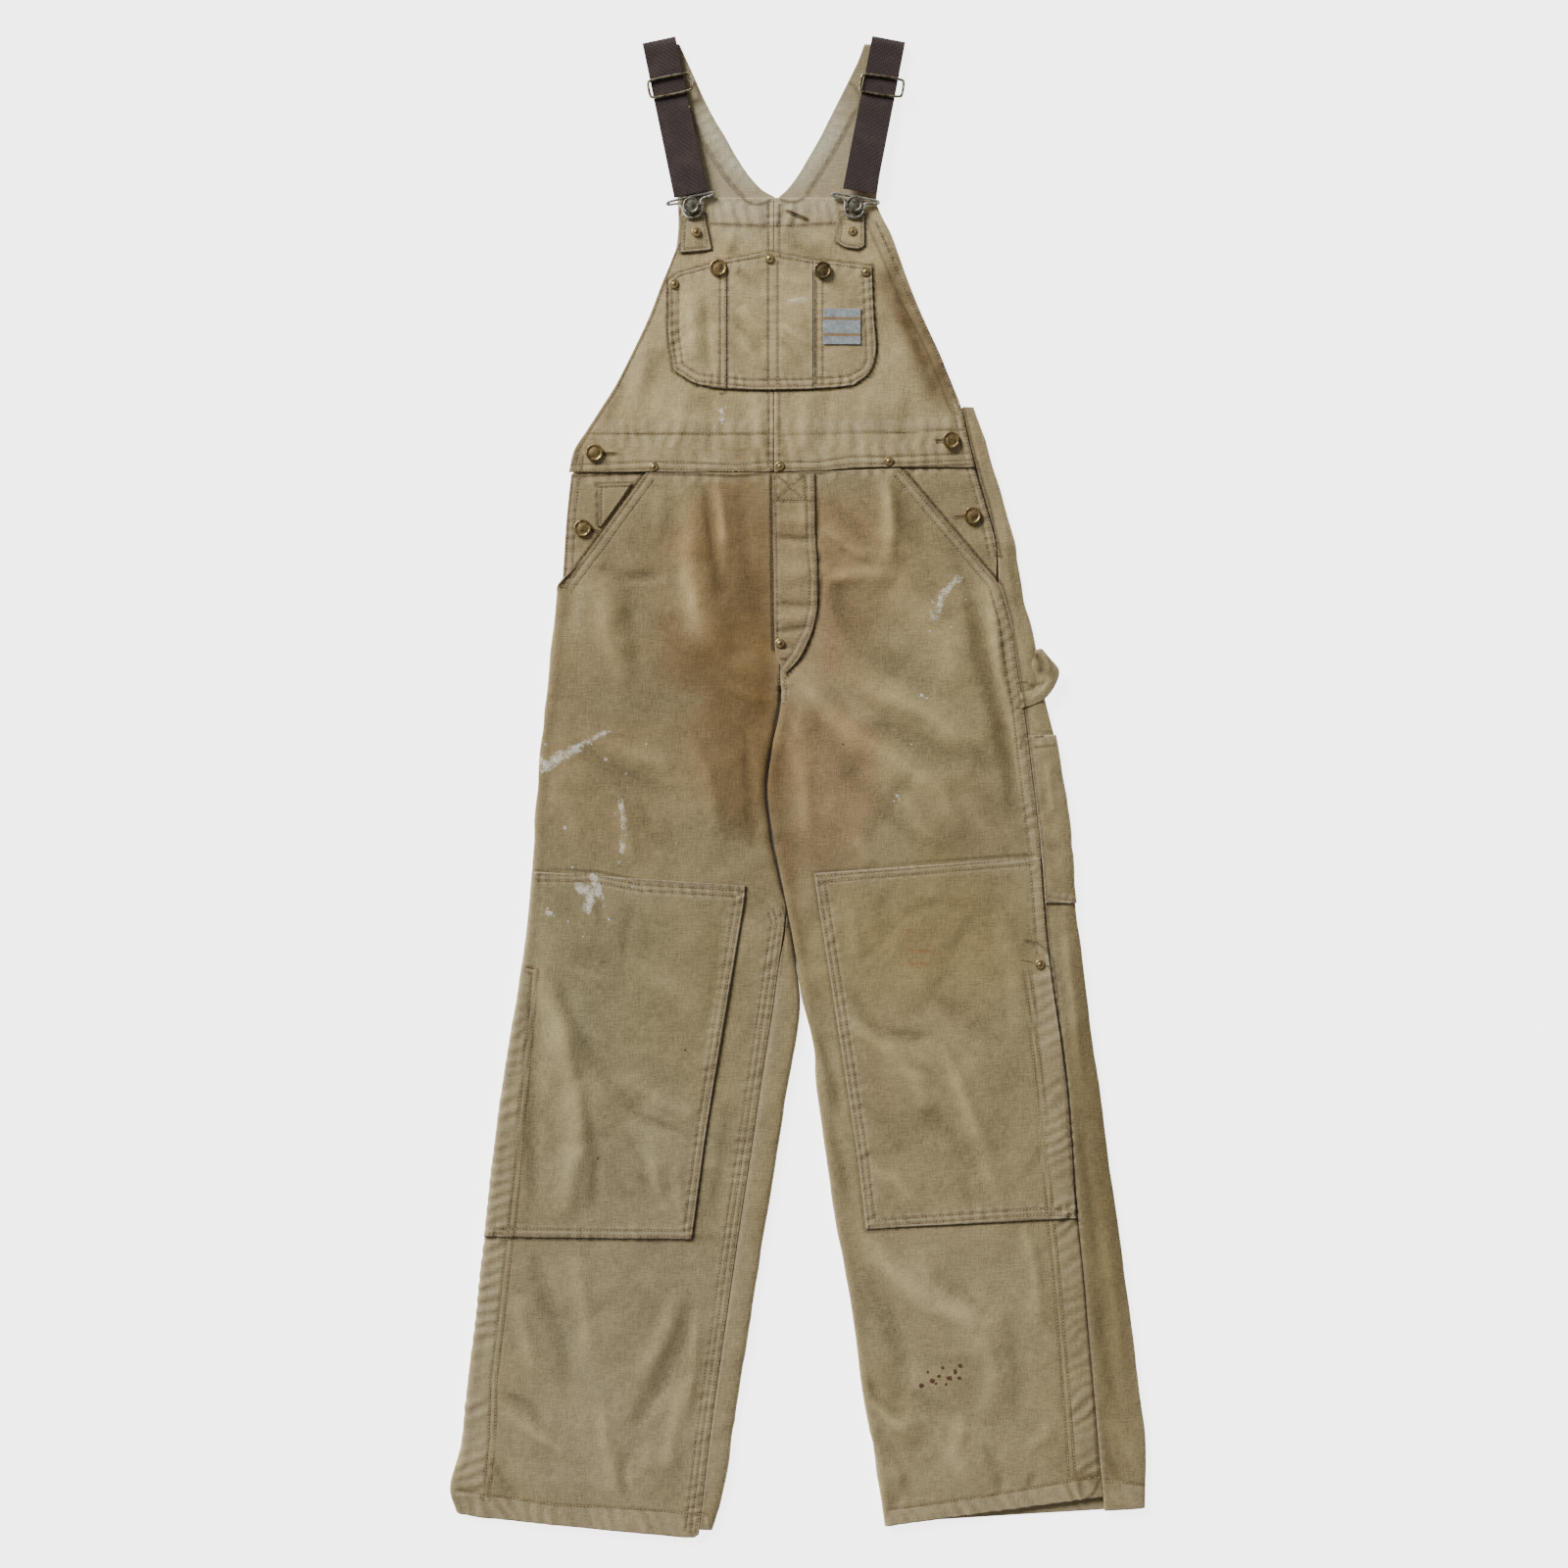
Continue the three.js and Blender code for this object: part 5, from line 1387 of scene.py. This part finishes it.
STITCH_PITCH = 3.3
CLOSE_PITCH = 0.75
BROKEN_SHARE = 0.03
tan_thread = thread_material("tan_thread", (190, 168, 124), (122, 99, 64))
chance = np.random.default_rng(7)
stitches = []
for name, (line, rows, *_) in SEAMS.items():
    if name.startswith("slit"):
        continue
    for offset in rows:
        places, ways = stations(line, offset, STITCH_PITCH)
        for (x, y), (dx, dy) in zip(places, ways):
            if chance.random() > BROKEN_SHARE:
                stitches.append((x, y, dx, dy, chance.uniform(2.3, 2.9), chance.uniform(0.75, 0.95)))
sewn("seam_stitching", stitches, tan_thread)

# Bar tacks: short close zigzags, as a line and its half width.
BAR_TACKS = [
    ([(209, 143), (218, 141)], 1.6), ([(235, -254), (264, -261)], 1.2),
    ([(-218, 114), (-210, 110)], 1.6), ([(-2, 41), (6, 41)], 1.5), ([(-4, -3), (4, -3)], 1.5),
    ([(231, 18), (242, 18)], 1.5), ([(231, -7), (242, -9)], 1.5), ([(248, -36), (258, -35)], 1.4),
    ([(-251, -261), (-242, -263)], 1.3),
]
stitches = []
for line, reach in BAR_TACKS:
    places, ways = stations(line, 0, CLOSE_PITCH)
    for number, ((x, y), (dx, dy)) in enumerate(zip(places, ways)):
        lean = 0.25 if number % 2 else -0.25
        stitches.append((x, y, -dy + lean * dx, dx + lean * dy, 2 * reach, 0.6))
# Buttonholes: close stitches along both sides of each slit.
for name, (line, *_) in SEAMS.items():
    if name.startswith("slit"):
        for offset in (-1.3, 1.3):
            places, ways = stations(line, offset, CLOSE_PITCH)
            stitches += [(x, y, -dy, dx, 1.9, 0.55) for (x, y), (dx, dy) in zip(places, ways)]
sewn("worked_stitching", stitches, thread_material("buttonhole_thread", (150, 126, 88), (92, 74, 48)))

# Rows on the hidden side: the felled centre back seam and the seam under the high back.
UNDER_ROWS = [([(0, 284), (0, 2)], (-4, -9)), ([(-168, 292), (170, 292)], (3, 9))]
stitches = []
for line, offsets in UNDER_ROWS:
    for offset in offsets:
        places, ways = stations(line, offset, STITCH_PITCH)
        stitches += [(x, y, dx, dy, 2.6, 0.85) for (x, y), (dx, dy) in zip(places, ways)]
sewn("under_stitching", stitches, tan_thread, from_below=True)

# ---------------------------------------------------------------------------------------------
# Paint and dirt specks. Small spots that were flicked on and dried, each a thin flake with an
# uneven edge. They are given by their place and their size in millimetres.
def flakes(name, spots, colour, corners=9):
    paint = Shader(name, roughness=0.6)
    shade = paint.span(paint.noise(500.0, 3.0), 0.3, 0.7)
    dull = tuple(c * 0.8 for c in colour)
    points, faces = [], []
    for x, y, size in spots:
        found = laid_on_cloth(x, y)
        if found is None:
            continue
        place, normal = found
        ahead = normal.orthogonal().normalized()
        aside = normal.cross(ahead)
        first = len(points)
        points.append(place + normal * 0.32 * MM)
        for k in range(corners):
            angle = 2 * math.pi * k / corners
            reach = 1.25 * size * chance.uniform(0.7, 1.25)
            outward_way = ahead * math.cos(angle) * reach + aside * math.sin(angle) * reach
            points.append(place + (outward_way + normal * 0.08) * MM)
        faces += [(first, first + 1 + k, first + 1 + (k + 1) % corners) for k in range(corners)]
    material = paint.finished(paint.mix(shade, rgba(dull), rgba(colour)))
    return plain_piece(name, points, faces, material, None)


WHITE_SPOTS = [
    (-172, -58, 1.2), (-212, -125, 1.4), (-226, -209, 1.5), (-229, -204, 0.8), (138, 5, 1.2),
    (143, 2, 0.8), (114, -94, 1.2), (111, -99, 0.8), (-186, -43, 0.8), (-152, -72, 0.7),
    (-163, -111, 0.7), (-205, -164, 0.9), (-169, -215, 0.9), (-209, -217, 0.7), (-54, 288, 0.8),
    (-65, 269, 0.7), (167, 72, 0.8), (146, 68, 0.7), (182, 99, 0.7), (-231, -43, 0.9),
    (-132, -43, 0.7), (-194, -232, 0.7), (-146, -183, 0.7), (-103, -140, 0.6), (128, -43, 0.6),
]
BROWN_SPOTS = [
    (138, -672, 2.0), (148, -667, 2.2), (155, -663, 1.6), (159, -655, 1.5), (165, -665, 2.2),
    (171, -659, 1.9), (176, -653, 2.0), (175, -665, 1.7), (144, -659, 1.3), (152, -670, 1.2),
    (162, -671, 1.2), (-94, -343, 0.9), (-180, -449, 0.9), (61, -43, 0.9),
]
flakes("white_paint_specks", WHITE_SPOTS, (228, 224, 216))
flakes("brown_specks", BROWN_SPOTS, (92, 64, 40))

# ---------------------------------------------------------------------------------------------
# Floor, light and camera: a pale floor, one broad soft light from the upper left with a wide
# fill, and the camera straight above. The floor glows, but its dark gap between the legs is painted
# shade.
FLOOR_REACH = 6
FLOOR_GLOW = 3.6
LEG_GAP_PLACE = (0.002, -0.14)
LEG_GAP_REACH = (0.03, 0.19)
far = FLOOR_REACH
ground = bpy.data.meshes.new("floor")
ground.from_pydata([(-far, -far, 0), (far, -far, 0), (far, far, 0), (-far, far, 0)], [], [(0, 1, 2, 3)])
paper = Shader("pale_floor", roughness=0.9)
paper.skin.inputs["Emission Color"].default_value = (1.0, 1.0, 1.0, 1.0)
gap = paper.node("ShaderNodeMapping")
paper.put(gap.inputs["Vector"], paper.place)
gap_middle = [-(crotch[axis] + LEG_GAP_PLACE[axis]) / LEG_GAP_REACH[axis] for axis in (0, 1)]
gap.inputs["Location"].default_value = (*gap_middle, 0.0)
gap.inputs["Scale"].default_value = (1 / LEG_GAP_REACH[0], 1 / LEG_GAP_REACH[1], 0.0)
away = paper.node("ShaderNodeVectorMath", operation="LENGTH")
paper.put(away.inputs[0], gap.outputs["Vector"])
# The glow falls to nothing in an oval over the gap between the legs: painted shade.
glow = paper.span(away.outputs["Value"], 0.75, 1.15, 0.0, FLOOR_GLOW)
paper.put(paper.skin.inputs["Emission Strength"], glow)
ground.materials.append(paper.finished(rgba((240, 240, 240))))
placed("floor", ground)

world = bpy.data.worlds.new("soft_room")
bpy.context.scene.world = world
world.use_nodes = True
sky = world.node_tree.nodes["Background"]
sky.inputs["Color"].default_value = (1.0, 1.0, 1.0, 1.0)
sky.inputs["Strength"].default_value = 0.22
window = bpy.data.lights.new("window", "SUN")
window.energy = 5.15
window.angle = math.radians(24)
LIGHT_WAY = (0.62, -0.66, -0.5)
placed("window", window).rotation_euler = Vector(LIGHT_WAY).to_track_quat("-Z", "Y").to_euler()

VIEW_WIDTH = 1.544
VIEW_MIDDLE = (0.003, -0.082)
camera = placed("camera", bpy.data.cameras.new("camera"))
camera.data.lens = 50.0
camera.data.sensor_width = 36.0
height = VIEW_WIDTH * camera.data.lens / camera.data.sensor_width
camera.location = (crotch[0] + VIEW_MIDDLE[0], crotch[1] + VIEW_MIDDLE[1], height)
bpy.context.scene.camera = camera
